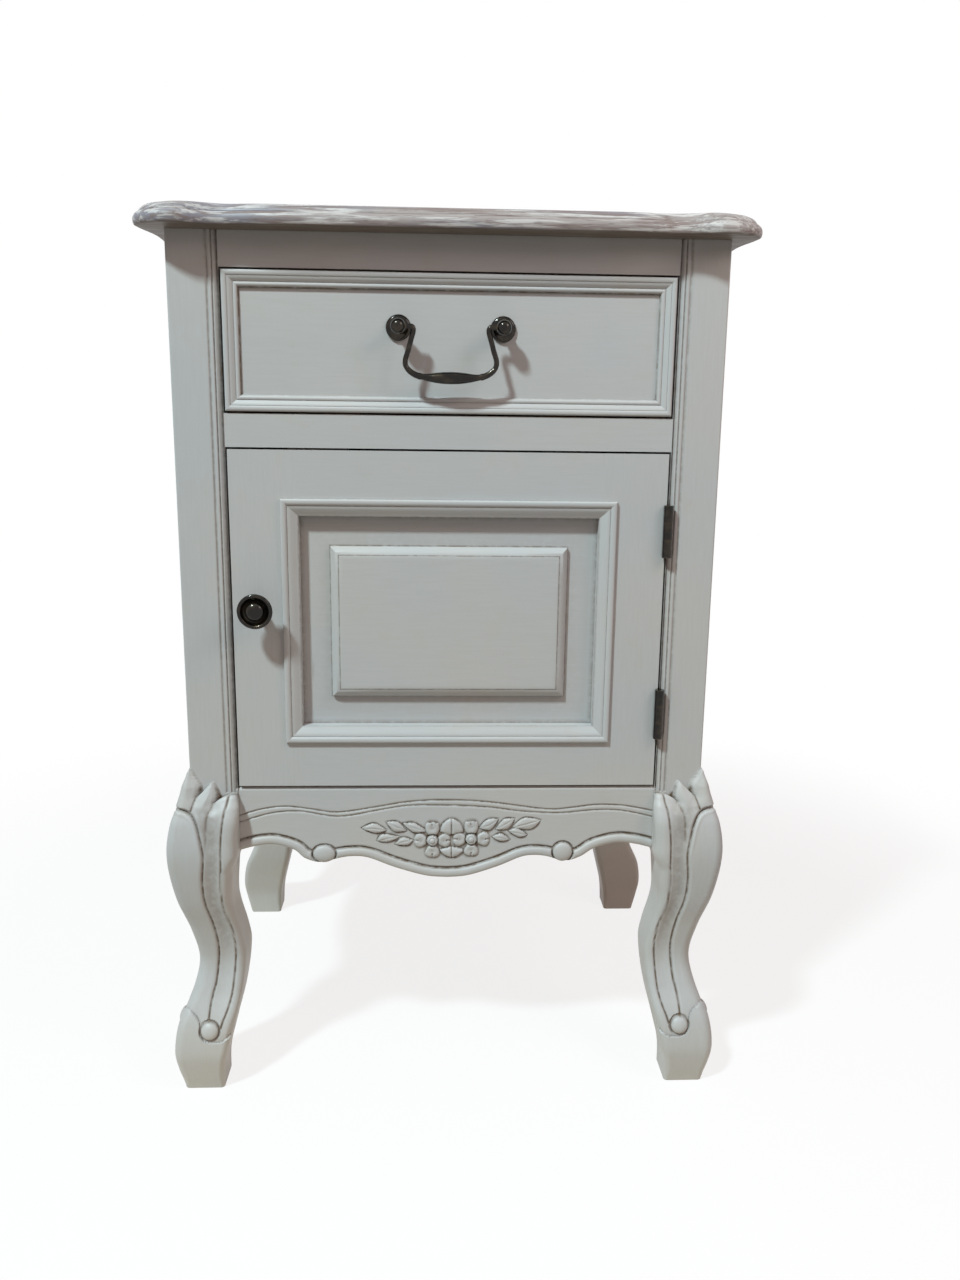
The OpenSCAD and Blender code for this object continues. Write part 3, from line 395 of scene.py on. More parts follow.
def bare_wood(name, ring_stretch, fibre_stretch):
    """Plain sanded wood, for the drawer's box, the back and the parts inside."""
    t = new_material(name)
    ring = t.noise(22.0, ring_stretch, detail=4.0, warp=0.3)
    fibre = t.noise(420.0, fibre_stretch, detail=3.0, shift=2.0)
    bands = t.math("FRACT", t.times(ring, 9.0))
    colour = t.mix(t.remap(bands, 0.1, 0.9), BARE_RING, BARE_LIGHT)
    colour = t.mix(t.remap(fibre, 0.5, 0.75, 0.0, 0.45), colour, BARE_FIBRE)
    # Painted shade in the creases
    colour = t.mix(t.remap(t.cavity(3.0), 0.4, 0.9, 0.0, 0.4), colour, BARE_CREASE_SHADE)
    return t.surface(colour, t.remap(fibre, 0.3, 0.7, 0.5, 0.66), fibre, bump=0.25, depth=0.1)


BRONZE_DARK = srgb(20, 16, 12)
BRONZE_BROWN = srgb(44, 36, 25)
BRONZE_RUBBED_HIGHLIGHT = srgb(148, 126, 92)
BRONZE_CREASE = srgb(8, 7, 6)


def antique_bronze():
    """Dark antique brass, lighter on its high places: partly rubbed wear, partly a painted highlight."""
    t = new_material("antique_bronze")
    cloud = t.noise(130.0, detail=5.0, rough=0.6)
    grit = t.noise(1100.0, detail=3.0, shift=6.0)
    colour = t.mix(t.remap(cloud, 0.4, 0.65), BRONZE_DARK, BRONZE_BROWN)
    # Lighter on the convex edges: partly rubbed wear, partly a painted highlight
    colour = t.mix(t.remap(t.cavity(1.6, inner=True), 0.35, 0.8, 0.0, 0.45), colour, BRONZE_RUBBED_HIGHLIGHT)
    colour = t.mix(t.remap(t.cavity(2.0), 0.3, 0.8, 0.0, 0.8), colour, BRONZE_CREASE)
    return t.surface(colour, t.remap(cloud, 0.3, 0.7, 0.18, 0.28), grit, bump=0.2, depth=0.08,
                     **{"Metallic": 0.85, "Coat Weight": 0.4, "Coat Roughness": 0.08})


def zinc():
    """Zinc-plated steel, for the screws and the catch's strike."""
    t = new_material("zinc")
    turn = t.noise(500.0, (1, 0.1, 1), detail=3.0)
    colour = t.mix(t.remap(turn, 0.35, 0.65), srgb(178, 178, 176), srgb(202, 202, 200))
    return t.surface(colour, t.remap(turn, 0.3, 0.7, 0.26, 0.4), turn, bump=0.1, depth=0.05, Metallic=1.0)


def catch_plastic():
    """Matt off-white plastic."""
    t = new_material("catch_plastic")
    grain = t.noise(800.0, detail=3.0)
    colour = t.mix(t.remap(grain, 0.35, 0.65), srgb(214, 208, 194), srgb(222, 217, 204))
    return t.surface(colour, t.remap(grain, 0.3, 0.7, 0.42, 0.52), grain, bump=0.15, depth=0.05)


PAINT_X = paint("paint_across", "x")
PAINT_Z = paint("paint_upright", "z")
PAINT_Y = paint("paint_deep", "y")
WASHED = washed_wood()
BARE = bare_wood("bare_wood_deep", (1, 0.06, 1), (1, 0.03, 1))
BARE_X = bare_wood("bare_wood_across", (0.06, 1, 1), (0.03, 1, 1))
BARE_Z = bare_wood("bare_wood_upright", (1, 1, 0.06), (1, 1, 0.03))
BRONZE = antique_bronze()
BY_SLOT = {"paint": PAINT_X, "washed_wood": WASHED, "bare_wood": BARE, "antique_bronze": BRONZE,
           "steel": zinc(), "catch_plastic": catch_plastic()}


# ---- Legs ----

# A leg's curves seen from the front: distance out of the post's face, and height
LEG_OUTER = spline([(12.5, 0), (17.2, 18), (19.4, 36), (15.52, 60), (4.85, 84), (0, 108), (4.58, 136),
                    (13.2, 168), (17.6, 203), (14.43, 230), (7.22, 248), (2.64, 266), (0, 284)], 8)
LEG_INNER = spline([(-19.5, 0), (-20.6, 22), (-25.1, 42), (-33.6, 76), (-37.8, 108), (-36.3, 127),
                    (-31.7, 152), (-30.7, 168), (-32.7, 200), (-32.7, 218), (-37, 257.5)], 8)
# Radii of the outer corner and of the other corners, by height
OUTER_R = [(0, 3.5), (8, 6.5), (36, 8), (60, 8), (108, 9), (150, 8.5), (203, 7.5), (235, 5.5), (262, 2.4),
           (284, 1.5), (700, 1.5)]
OTHER_R = [(0, 3), (10, 4.5), (36, 5), (60, 6), (108, 6.5), (168, 8.5), (203, 8.5), (235, 7), (252, 4),
           (258, 1.2), (700, 1.2)]
# A plain post's radii at its outer corner and at its other corners
POST_OUTER_R = 1.5
POST_OTHER_R = 1.2
# From the foot up: the grooves and the lobe, the leaves, which stand a little out, and the plain post
BALL_TOP = 60
LOBE_TOP = 246
LEAVES_FROM = 236
POST_FROM = 277
LEAF_LIFT = 1.7
# The carving, as lines across the face of a leg: distance out of the post's face, and height
GROOVE_OUT = spline([(-9.3, 62), (-10.2, 72), (-12.2, 82), (-14.6, 92), (-17.2, 119.5), (-14.9, 142.5),
                     (-10.2, 165), (-9.6, 185), (-11.4, 203), (-10.7, 212.3), (-9.2, 220.6), (-7, 229.8),
                     (-3.4, 237.4), (1.7, 241.2), (6, 242.4), (12, 243.6)])
GROOVE_IN = spline([(-19, 56), (-20.8, 61.5), (-23.7, 68.6), (-26.1, 76.2), (-28, 86.2), (-30.7, 115.8),
                    (-29.9, 135.3), (-25.2, 155.5), (-23.4, 175), (-24.6, 195.5), (-24.9, 204.2),
                    (-25.3, 216.4), (-26.5, 228.9), (-28.1, 240.3), (-29.9, 247.1), (-30.8, 253)])
# How deep the leg is hollowed between its grooves, by height
HOLLOW_DEPTH = [(60, 0.3), (80, 0.9), (108, 1.0), (150, 2.1), (225, 1.6), (250, 0.2)]
# The creases between the three leaves, and the outline of their tops
LEAF_AB = spline([(-5.5, 251.7), (-3.7, 247.2), (-1.9, 242)])
LEAF_BC = spline([(-19.4, 247), (-17, 241.9), (-14.8, 237.4), (-13.9, 229.8), (-13.6, 220), (-12.6, 205)])
LEAF_TOPS = np.concatenate([spline(edge, 5) for edge in (
    [(30, 285), (8, 276.5), (2, 273.6), (-0.7, 272.2), (-2.8, 268), (-4.7, 264.7), (-6.4, 261.5),
     (-6.8, 258.3), (-6, 255.1), (-5.5, 251.6)],
    [(-5.5, 251.6), (-10.1, 255.9), (-14.2, 260.2), (-17.2, 262.6)],
    [(-17.2, 262.6), (-18.9, 259.6), (-19.9, 255.9), (-20.1, 251.9), (-19.4, 247.2)],
    [(-19.4, 247.2), (-22.5, 249.8), (-26.5, 251.8), (-30.6, 252.6), (-34, 252.6), (-60, 252.6)])])
LEAF_AREA = np.concatenate([LEAF_TOPS, [(-60, -40), (60, -40), (60, 285)]])
# Dark spots in the post's face where two leaves meet: glaze and painted shade of the gap between them
NOTCHES = [(-5.6, 253.5), (-19.3, 249.6)]
NOTCH_R2 = 5.0
# The ball over the foot in its sunk ring, and the line of the foot's cuff
BALL_AT = (-10.1, 54.3)
BALL_R = 7.4
BALL_OUT = 4.4
BALL_SUNK = 1.7
BALL_RING = 1.4
CUFF = spline([(14, 73), (11.5, 70.9), (6, 68.9), (1.5, 65.6), (-1.4, 61), (-2.3, 54), (-4.1, 47.4),
               (-8.4, 44.9), (-13.3, 44.3), (-18.7, 44.8), (-24.1, 47.2), (-28.4, 50.4), (-34, 56)])
CUFF_AREA = np.array(CUFF.tolist() + [(-60, 70), (-60, -40), (60, -40), (60, 90)])
# The lines of the two reeds, by distance in from a post's inner edge, and the height where they end
REED_LINES = (4.5, 8.2)
REEDS_FROM = 253.3

# Points across a leg's outer face, round its outer corner and across its rear, and how those
# on the face are packed at the leaves
FACE_POINTS = 72
CORNER_POINTS = 14
REAR_POINTS = 6
PACKING = [(0, 0), (0.46, 0.28), (1, 1)]


def at_height(curve, z):
    """How far out a curve lies at each height."""
    return np.interp(z, curve[:, 1], curve[:, 0])


def arc(ca, cb, r, start, end, n):
    """n points inside an arc round ca, cb, and their outward directions."""
    w = np.radians(np.linspace(start, end, n + 2)[1:-1])[None, :]
    na, nb = np.cos(w) + 0 * r, np.sin(w) + 0 * r
    return ca + r * na, cb + r * nb, na, nb


def post_ring(lo, hi, r_out, r_in, dense):
    """Points and outward directions round a rounded square from lo to hi, for each height,
    with the points of its two outer faces packed where dense is 1."""
    rows = np.shape(hi)
    lo, hi, r_out, r_in, dense = (np.broadcast_to(v, rows)[:, None] for v in (lo, hi, r_out, r_in, dense))
    t = np.linspace(0, 1, FACE_POINTS)[None, :]
    t = t + (follow(PACKING, t) - t) * dense
    u = np.linspace(0, 1, REAR_POINTS)[None, :]
    nil, rear = 0 * (t + lo), 0 * (u + lo)
    face = lo + r_in + (hi - r_out - lo - r_in) * t
    gap = hi - lo - 2 * r_in
    parts = [
        (face, hi + nil, nil, nil + 1),
        arc(hi - r_out, hi - r_out, r_out, 90, 0, CORNER_POINTS),
        (hi + nil, face[:, ::-1], nil + 1, nil),
        arc(hi - r_in, lo + r_in, r_in, 0, -90, 7),
        (hi - r_in - gap * u, lo + rear, rear, rear - 1),
        arc(lo + r_in, lo + r_in, r_in, -90, -180, 6),
        (lo + rear, lo + r_in + gap * u, rear - 1, rear),
        arc(lo + r_in, hi - r_in, r_in, 180, 90, 7)]
    return [np.concatenate([part[k] + 0 * lo for part in parts], axis=1) for k in range(4)]


def carve(c, z, on_face):
    """How far the carving moves the face of a leg out, and how much glaze and painted shade it holds."""
    out_d, in_d = to_line(c, z, GROOVE_OUT), to_line(c, z, GROOVE_IN)
    c_out, c_in = at_height(GROOVE_OUT, z), at_height(GROOVE_IN, z)
    # The lobe outside the grooves, with a lip round its top
    beside = (c > c_out) & (z > BALL_TOP) & (z < LOBE_TOP)
    lobe = smooth_step(out_d, 0.3, 3.4) * (beside | (z <= BALL_TOP))
    d = 0.7 * lobe * smooth_step(z, 64, 84)
    d += 0.55 * ridge(out_d - 2.3, 1.3) * beside * smooth_step(z, 196, 222)
    # The hollow between the grooves, and the grooves
    between = ((c < c_out) & (c > c_in) & (z > BALL_TOP)) * smooth_step(-z, -252, -240)
    u = np.clip((c - c_in) / np.maximum(c_out - c_in, 1), 0, 1)
    hollow = 4 * u * (1 - u) * between
    d -= follow(HOLLOW_DEPTH, z) * hollow
    d -= 1.4 * ridge(out_d, 0.85) + 1.3 * ridge(in_d, 0.85)
    # The creases between the leaves
    ab, bc = to_line(c, z, LEAF_AB), to_line(c, z, LEAF_BC)
    d -= 0.9 * ridge(ab, 0.7) + 0.5 * ridge(ab, 2.4)
    d -= (0.7 * ridge(bc, 1.0) + 0.5 * ridge(bc, 2.8)) * smooth_step(z, 204, 228)
    # The leg sinks towards the cuff, and the ball stands in a ring round it
    cuff = to_line(c, z, CUFF)
    above = ~inside(c, z, CUFF_AREA)
    d -= 1.6 * np.exp(-cuff / 7.0) * above
    r = np.hypot(c - BALL_AT[0], z - BALL_AT[1])
    d = np.where(r < BALL_R + BALL_RING, -BALL_SUNK + BALL_OUT * dome(r / BALL_R), d)
    glaze_and_shade = ridge(out_d, 0.8) + ridge(in_d, 0.75) + 0.9 * ridge(ab, 0.6)
    glaze_and_shade += 0.45 * ridge(bc, 0.8) * smooth_step(z, 204, 225)
    # Painted shade darkens the hollow between the grooves
    glaze_and_shade += 0.36 * hollow * smooth_step(z, 100, 150)
    glaze_and_shade += 0.95 * ridge(r - BALL_R - 0.3, 0.8) + 0.55 * ridge(cuff, 0.8) * above
    return d * on_face, glaze_and_shade * on_face


def knee_leaves(c, z, outward, on_face):
    """The pointed leaves over the knee: 1 in them and 0 in the post above, how far they
    stand out, and the glaze, with painted shade at the notches, in the post round them."""
    edge_d = to_line(c, z, LEAF_TOPS)
    leaf = inside(c, z, LEAF_AREA)
    share = smooth_step(np.where(leaf, edge_d, -edge_d), -0.55, 0.45)
    # They swell away from their edge, but not over the lobe, and are rounded at the edge
    swell = leaf * smooth_step(z, 212, 238) * (c < at_height(GROOVE_OUT, z) + 60 * (z > 243))
    swell = swell * smooth_step(to_line(c, z, GROOVE_OUT), 0, 3) * on_face
    lift = 2.4 * smooth_step(edge_d, 0, 10) * swell
    lift -= (1 - smooth_step(edge_d, 0, 2.4)) * leaf * (z > 240)
    glaze_and_shade = ridge(edge_d, 0.8) * (1 - 0.7 * smooth_step(z, 255, 262))
    # Dark spots at the notches: glaze and painted shade of the gap between two leaves
    for cx, cz in NOTCHES:
        glaze_and_shade = glaze_and_shade + 1.1 * np.exp(-((c - cx) ** 2 + (z - cz) ** 2) / NOTCH_R2)
    return share, lift, glaze_and_shade * ~leaf * (outward > 0.5)


def reeds(c, z):
    """The two reeds on a front post's inner strip, from under the top to the apron."""
    u = c + POST_W
    edge_line, inner_line = REED_LINES
    d = -1.1 * ridge(u - edge_line, 0.5) - 0.8 * ridge(u - inner_line, 0.8)
    d -= 3.0 * np.clip(1 - u / edge_line, 0, 1) ** 1.3
    glaze_and_shade = 0.65 * ridge(u - edge_line - 0.1, 0.45) + 0.45 * ridge(u - inner_line - 0.2, 1.0)
    glaze_and_shade += 0.3 * ridge(u - edge_line / 3, 1.6)
    upper = z > REEDS_FROM
    return d * upper, glaze_and_shade * upper


def add_back_leg(name, side):
    """A plain leg with rounded corners. side is -1 on the left and 1 on the right."""
    z = np.concatenate([np.arange(0, 290, 3.0), [292, 330, CASE_H]])
    a, b, _, _ = post_ring(at_height(LEG_INNER, z), at_height(LEG_OUTER, z), follow(OUTER_R, z),
                           follow(OTHER_R, z), smooth_step(z, 240, 256))
    rings = np.stack([side * (HALF_W + a), CASE_D + b, z[:, None] + 0 * a], axis=-1)
    add_loft(name + "_shaped", rings, [name], PAINT_Z, 42, 0 * a)


def add_front_leg(name, side):
    """A carved leg. The carved knee passes into the plain post at the leaves' outline."""
    z = np.concatenate([np.linspace(0, 3, 4), np.arange(4.5, 30, 1.5), np.arange(30.5, 240, 0.75),
                        np.arange(240, 286, 0.4), [288, 292, 300, 330, 400, 520, 600, CASE_H]])
    outer, inner = at_height(LEG_OUTER, z), at_height(LEG_INNER, z)
    # Beside the apron the knee is as wide as the post
    inner = inner + (-POST_W - inner) * smooth_step(z, 190, 206)
    knee = z < POST_FROM
    proud = np.where(z > LEAVES_FROM, np.maximum(outer, LEAF_LIFT) * knee, outer)
    dense = smooth_step(z, 240, 256)
    a, b, na, nb = post_ring(inner, proud, follow(OUTER_R, z), follow(OTHER_R, z), dense)
    pa, pb, _, pnb = post_ring(-POST_W, 0 * z, POST_OUTER_R, POST_OTHER_R, dense)
    zz = z[:, None] + 0 * a
    # Both outer faces are carved alike, by the distance in from the outer corner
    c = np.minimum(a, b)
    outward = np.maximum(na, nb)
    on_face = smooth_step(outward, -0.1, 0.35)
    d, glaze_and_shade = carve(c, zz, on_face)
    share, lift, leaf_glaze_and_shade = knee_leaves(c, zz, outward, on_face)
    reed_d, reed_glaze = reeds(np.minimum(pa, pb), zz)
    in_front = (pnb > 0.7) * (1 - share)
    a = pa + (a + na * (d + lift) - pa) * share
    b = pb + (b + nb * (d + lift) - pb) * share + reed_d * in_front
    glaze_and_shade = np.maximum(glaze_and_shade * share, np.maximum(leaf_glaze_and_shade, reed_glaze * in_front))
    rings = np.stack([side * (HALF_W + a), -b, zz], axis=-1)
    add_loft(name + "_carved", rings, [name], PAINT_Z, 42, glaze_and_shade)


# ---- Top ----

TOP_OVER_FRONT = 20.5
TOP_OVER_SIDE = 16.5
# The edge from below upwards: distance in from the outline, and height over the case
TOP_NOSE = spline([(3, 0), (0.8, 1), (0, 4), (0.6, 7), (2.2, 8.9), (3.4, 9.3)])
TOP_EDGE = spline([(3.8, 9.4), (4.0, 10.5), (5.6, 12.9), (8.6, 15), (13, 16)])
TOP_FLAT = (13.8, 16.0)
# Up to this distance the outline is moved in square to itself
SQUARE_INSET = 3.5
# Both flats close in towards their middle in these shares, so that no long thin face crosses them
CLOSING = (0.85, 0.55, 0.25, 0.002)


def top_outline():
    """The top seen from above, with ears at its front corners."""
    side = HALF_W + TOP_OVER_SIDE
    front = -TOP_OVER_FRONT
    back = CASE_D + TOP_OVER_FRONT
    curve = spline([(0, front), (OPEN_X - 38, front), (OPEN_X - 1, front + 3), (HALF_W - 10, front - 4),
                    (side - 7.5, front + 2), (side + 2.5, front + 13), (side + 3, front + 25),
                    (side - 1.5, front + 56), (side, front + 95)], 12)
    rear = spline([(side, back - 16), (side - 1.6, back - 7), (side - 7, back - 1.6), (side - 16, back)], 6)
    right = np.concatenate([curve, rear])
    left = right[::-1] * np.array([-1, 1])
    whole = np.concatenate([right, left])
    return whole[np.linalg.norm(whole - np.roll(whole, 1, axis=0), axis=1) > 0.05]


def shrunk(ring, share):
    """A ring drawn in towards its middle, to a share of its size."""
    middle = (ring.min(axis=0) + ring.max(axis=0)) / 2
    return middle + share * (ring - middle)


def inset(outline, d):
    """The outline moved in by d: first square to its edge, then towards its middle, so it never folds."""
    t = np.roll(outline, -1, axis=0) - np.roll(outline, 1, axis=0)
    t /= np.linalg.norm(t, axis=1)[:, None]
    near = outline + min(d, SQUARE_INSET) * np.stack([-t[:, 1], t[:, 0]], axis=1)
    return shrunk(near, 1 - 2 * max(d - SQUARE_INSET, 0) / np.ptp(near, axis=0))


def add_top():
    outline = top_outline()
    rings = []
    for d, h in np.concatenate([TOP_NOSE, TOP_EDGE, [TOP_FLAT]]):
        ring = inset(outline, d)
        rings.append(np.column_stack([ring, np.full(len(ring), CASE_H + h)]))
    under = [shrunk(rings[0], share) for share in reversed(CLOSING)]
    over = [shrunk(rings[-1], share) for share in CLOSING]
    add_loft("top_moulded_board", under + rings + over, ["top_panel"], WASHED, 38)


# ---- Front apron ----

# A button: its middle, half its width and half its height
BUTTONS = [(-99.5, 200.8, 9.0, 7.2), (93.5, 201.4, 8.0, 8.0)]
BUTTON_OUT = 3.4
# The apron's face lies this far behind the posts' fronts, and its ends reach this far into them
APRON_Y = 1.5
APRON_END = 6
APRON_T = 18.0
# The bead along the lower edge, by distance in from it: its middle, half its width, how far
# it stands out, and the groove above it
BEAD_AT = 3.4
BEAD_HALF = 3.6
BEAD_OUT = 2.1
BEAD_GROOVE = 7.8
# The apron's upper edge is rounded over with this radius
ROLL_R = 3.4


def apron_half(b):
    """The lower edge from the middle to the post, as x and height, for a button at b."""
    reach = OPEN_X - b
    return spline([(0, 180), (0.18 * b, 181.6), (0.43 * b, 189), (0.64 * b, 197.3), (0.77 * b, 198.7),
                   (0.89 * b, 197), (b, 193), (1.15 * b, 197), (b + reach * 0.36, 204.7),
                   (b + reach * 0.6, 209.4), (b + reach * 0.82, 207.9), (OPEN_X, 204.5)], 8)


def apron_edge():
    """The whole lower edge, from left to right."""
    left = apron_half(-BUTTONS[0][0])[:0:-1] * np.array([-1, 1])
    right = apron_half(BUTTONS[1][0])
    return np.concatenate([[(-OPEN_X - 7, 204)], left, right, [(OPEN_X + 7, 204)]])


# The double line over the bead, as x and height
LINE_HIGH = spline([(-175, 231), (-163.4, 234.5), (-146, 239.2), (-128, 240.9), (-108, 238.4), (-87.1, 235.8),
                    (-55, 240.6), (-32.1, 244.4), (-4.5, 245.9), (32.4, 244.1), (79, 237.8), (100, 239),
                    (118.5, 241.3), (140, 240.8), (163.2, 236.7), (175, 233)])
LINE_LOW = spline([(-175, 226), (-163.6, 228.9), (-139.5, 235.6), (-116.7, 236.7), (-87.2, 232.2),
                   (-55, 237.6), (-32.1, 241.2), (-4.5, 241.6), (32.5, 239.7), (60, 236), (90.7, 234.5),
                   (118.6, 236.9), (140, 236.4), (163.4, 231.7), (175, 228)])
# A leaf: points at its tip, back, base and belly
LEAVES = [((-69.5, 222.5), (-59.2, 226.4), (-49.1, 220.6), (-58.2, 218.4)),
          ((-49.6, 227.5), (-40.5, 227.6), (-32.8, 220.2), (-43.2, 219.8)),
          ((-36.5, 226.4), (-26.5, 226.2), (-17, 219.6), (-27.5, 218.8)),
          ((-57.2, 211.5), (-52.3, 217.2), (-38.9, 214.8), (-47.5, 210.9)),
          ((-42.7, 208.5), (-36.7, 214.2), (-28.1, 211.9), (-32.4, 207.9)),
          ((75.2, 228.6), (61.6, 230.4), (52, 222.4), (67.2, 221.2)),
          ((54, 229.9), (45.3, 229.3), (38.4, 220.7), (48.7, 221.8)),
          ((41, 229.9), (31.3, 228.8), (25.4, 222), (34.6, 220.8)),
          ((64.6, 216), (56.3, 221.8), (48.8, 219.5), (57.6, 214.3)),
          ((50.5, 212), (43.4, 217.2), (35.8, 214.4), (42.4, 210.9))]
FLOWERS = [(-12.4, 211.8), (19.0, 212.8)]
FLOWER_R = 15.2
# A petal's middle lies this far from the flower's, and this is half its length and width.
# The petal that points up is longer
PETAL_AT = 9.0
PETAL_LONG = 5.7
PETAL_WIDE = 5.6
UPPER_PETAL_LONG = 7.0
BOSS_R = 4.4
# The two fans of small leaves between the flowers, and the line down their middle
FANS = [spline([(-6, 219.5), (-4.5, 225), (-1, 228.6), (3.1, 229.9), (7.2, 228.6), (10.8, 225), (12.4, 219.5),
                (7.5, 217.6), (3.1, 216.6), (-1.7, 217.6), (-6, 219.5)]),
        spline([(-6.6, 203.4), (-3, 199.4), (3.1, 197.2), (9.2, 199.4), (12.8, 203.4), (7.6, 205.2),
                (3.1, 205.8), (-1.6, 205.2), (-6.6, 203.4)])]
FAN_LINE = [(3.1, 229.5), (3.1, 197.5)]


def leaf_relief(x, z, tip, back, base, belly):
    """How far a leaf with a vein stands out, and the groove round it."""
    outline = np.concatenate([spline([tip, back, base], 8), spline([base, belly, tip], 8)[1:]])
    across = np.subtract(back, belly)
    back, belly = np.add(back, 0.1 * across), np.subtract(belly, 0.1 * across)
    d = to_line(x, z, outline)
    vein = to_line(x, z, [base, ((tip[0] + base[0]) / 2, (back[1] + belly[1]) / 2), tip])
    rise = 0.5 + 1.1 * pillow(d, 0.6 * math.hypot(*across)) - 0.45 * ridge(vein, 0.55)
    return np.where(inside(x, z, outline), rise, -0.5 * ridge(d, 0.6))


def flower_relief(x, z, cx, cz):
    """Four cupped petals round a boss, with a groove between."""
    out = np.zeros_like(x)
    for turn in (90, 0, -90, 180):
        upper = turn == 90
        long = UPPER_PETAL_LONG if upper else PETAL_LONG
        cos, sin = math.cos(math.radians(turn)), math.sin(math.radians(turn))
        at = PETAL_AT + long - PETAL_LONG
        px, pz = x - cx - at * cos, z - cz - at * sin
        u, v = px * cos + pz * sin, pz * cos - px * sin
        wide = PETAL_WIDE + (0.05 if upper else 0.35) * u
        s = (u / long) ** 2 + (v / wide) ** 2
        cup = 1.7 * np.clip(1 - s, 0, 1) ** 0.4 - 0.8 * ridge(u - 0.3, 2.4) * ridge(v, 2.8)
        notch = 0.8 * ridge(v, 0.7) * (u > 2)
        out = np.maximum(out, np.where(s < 1, cup - notch, 0))
    r = np.hypot(x - cx, z - cz)
    boss = 0.9 + 2.0 * dome(r / BOSS_R) - 0.7 * ridge(r - 2.4, 0.5)
    return np.where(r < BOSS_R, boss, out - ridge(r - BOSS_R - 0.5, 0.6))


def apron_art(x, z):
    """The leaves, the fans and the flowers. A later one covers what lies under it."""
    art = np.zeros_like(x)
    for leaf in LEAVES:
        mine = leaf_relief(x, z, *leaf)
        art = np.where(mine > 0.02, np.maximum(art, mine), np.where(art > 0.02, art, np.minimum(art, mine)))
    middle = to_line(x, z, FAN_LINE)
    for fan in FANS:
        d = to_line(x, z, fan)
        rise = 0.5 + 1.2 * pillow(d, 4.5) - 0.9 * ridge(middle, 0.6)
        art = np.where(inside(x, z, fan), rise, art - 0.4 * ridge(d, 0.6))
    for cx, cz in FLOWERS:
        mine = flower_relief(x, z, cx, cz)
        near = np.hypot(x - cx, z - cz) < FLOWER_R
        art = np.where(near & (np.abs(mine) > 0.02), mine, art)
    return art


def apron_relief(x, z):
    """How far each point of the apron's face stands out, and its glaze."""
    edge = to_line(x, z, apron_edge())
    high, low = to_line(x, z, LINE_HIGH), to_line(x, z, LINE_LOW)
    h = BEAD_OUT * dome((edge - BEAD_AT) / BEAD_HALF) * (edge < BEAD_AT + BEAD_HALF)
    h -= 1.3 * ridge(edge - BEAD_GROOVE, 0.9)
    h -= 0.85 * ridge(high, 0.7) + 0.8 * ridge(low, 0.7)
    h += 1.25 * apron_art(x, z)
    glaze_and_shade = ridge(edge - BEAD_GROOVE, 0.85) + 0.5 * ridge(np.minimum(high, low), 0.6)
    for cx, cz, rx, rz in BUTTONS:
        r = np.hypot((x - cx) / rx, (z - cz) / rz)
        out = (r - 1) * (rx + rz) / 2
        round_it = h * smooth_step(out, 0.3, 1.7) - 0.9 * ridge(out - 0.6, 0.6)
        h = np.where(r < 1, 0.4 + (BUTTON_OUT - 0.4) * dome(r), round_it)
        glaze_and_shade = glaze_and_shade * smooth_step(out, -0.2, 0.8) + 0.9 * ridge(out - 0.5, 0.7)
    roll = np.clip((z - APRON_TOP + ROLL_R) / ROLL_R, 0, 1)
    return h - 3.2 * (1 - dome(roll)), glaze_and_shade


def add_apron():
    """The carved front apron: a fine grid for its face, and two rows of points for its back."""
    low = apron_edge()
    xs = np.linspace(-OPEN_X - APRON_END, OPEN_X + APRON_END, 690)
    bottom = np.interp(xs, low[:, 0], low[:, 1])
    t = np.concatenate([np.linspace(0, 0.16, 24)[:-1], np.linspace(0.16, 0.94, 84)[:-1],
                        np.linspace(0.94, 1, 9)])
    z = bottom[None, :] + t[:, None] * (APRON_TOP - bottom[None, :])
    x = xs[None, :] + 0 * z
    h, glaze_and_shade = apron_relief(x, z)
    # Glaze and painted shade also gather wherever the face is lower than what lies round it
    sunk = blur(h, 3) - h
    glaze_and_shade = np.maximum(glaze_and_shade, np.clip((sunk - 0.08) / 0.42, 0, 1) * 0.9)
    front = np.stack([x, APRON_Y - h, z], axis=-1)
    rear = np.stack([x[::-1], np.full_like(x, APRON_Y + APRON_T), z[::-1]], axis=-1)[[0, -1]]
    rings = np.concatenate([front, rear]).transpose(1, 0, 2)
    glaze_and_shade = np.concatenate([glaze_and_shade, np.zeros_like(rear[..., 0])]).T
    add_loft("apron_carved", rings, ["front_apron"], PAINT_X, 50, glaze_and_shade)


# ---- Mouldings and panel ----

# Sections of the mouldings: distance in from the outer edge, and height over the face
DOOR_MOULD_W = 13
DRAWER_SECTION = np.concatenate([
    [(0, 0), (0, 3.6)], spline([(0.15, 4.2), (0.9, 4.85), (2.1, 5.0), (3.3, 4.75), (3.9, 4.3)]),
    [(4.15, 4.0)], spline([(4.4, 4.25), (5.6, 3.9), (6.8, 3.25), (7.9, 2.5)]),
    [(8.15, 2.2)], spline([(8.4, 2.6), (9.4, 2.9), (10.4, 2.7), (11.2, 2.0), (11.7, 1.2)]),
    [(12, 0.8), (12, 0)]])
DOOR_SECTION = np.concatenate([
    [(0, 0), (0, 1.9)], spline([(0.1, 2.35), (0.8, 3.0), (2.1, 3.2), (3.5, 2.95), (4.6, 2.2)]),
    [(5.0, 1.6)], spline([(5.3, 1.8), (7.0, 1.4), (9.2, 0.35), (11.3, -0.8), (13, -1.6)], 5),
    [(13, -2.5), (4.94, -2.5), (4.94, 0)]])
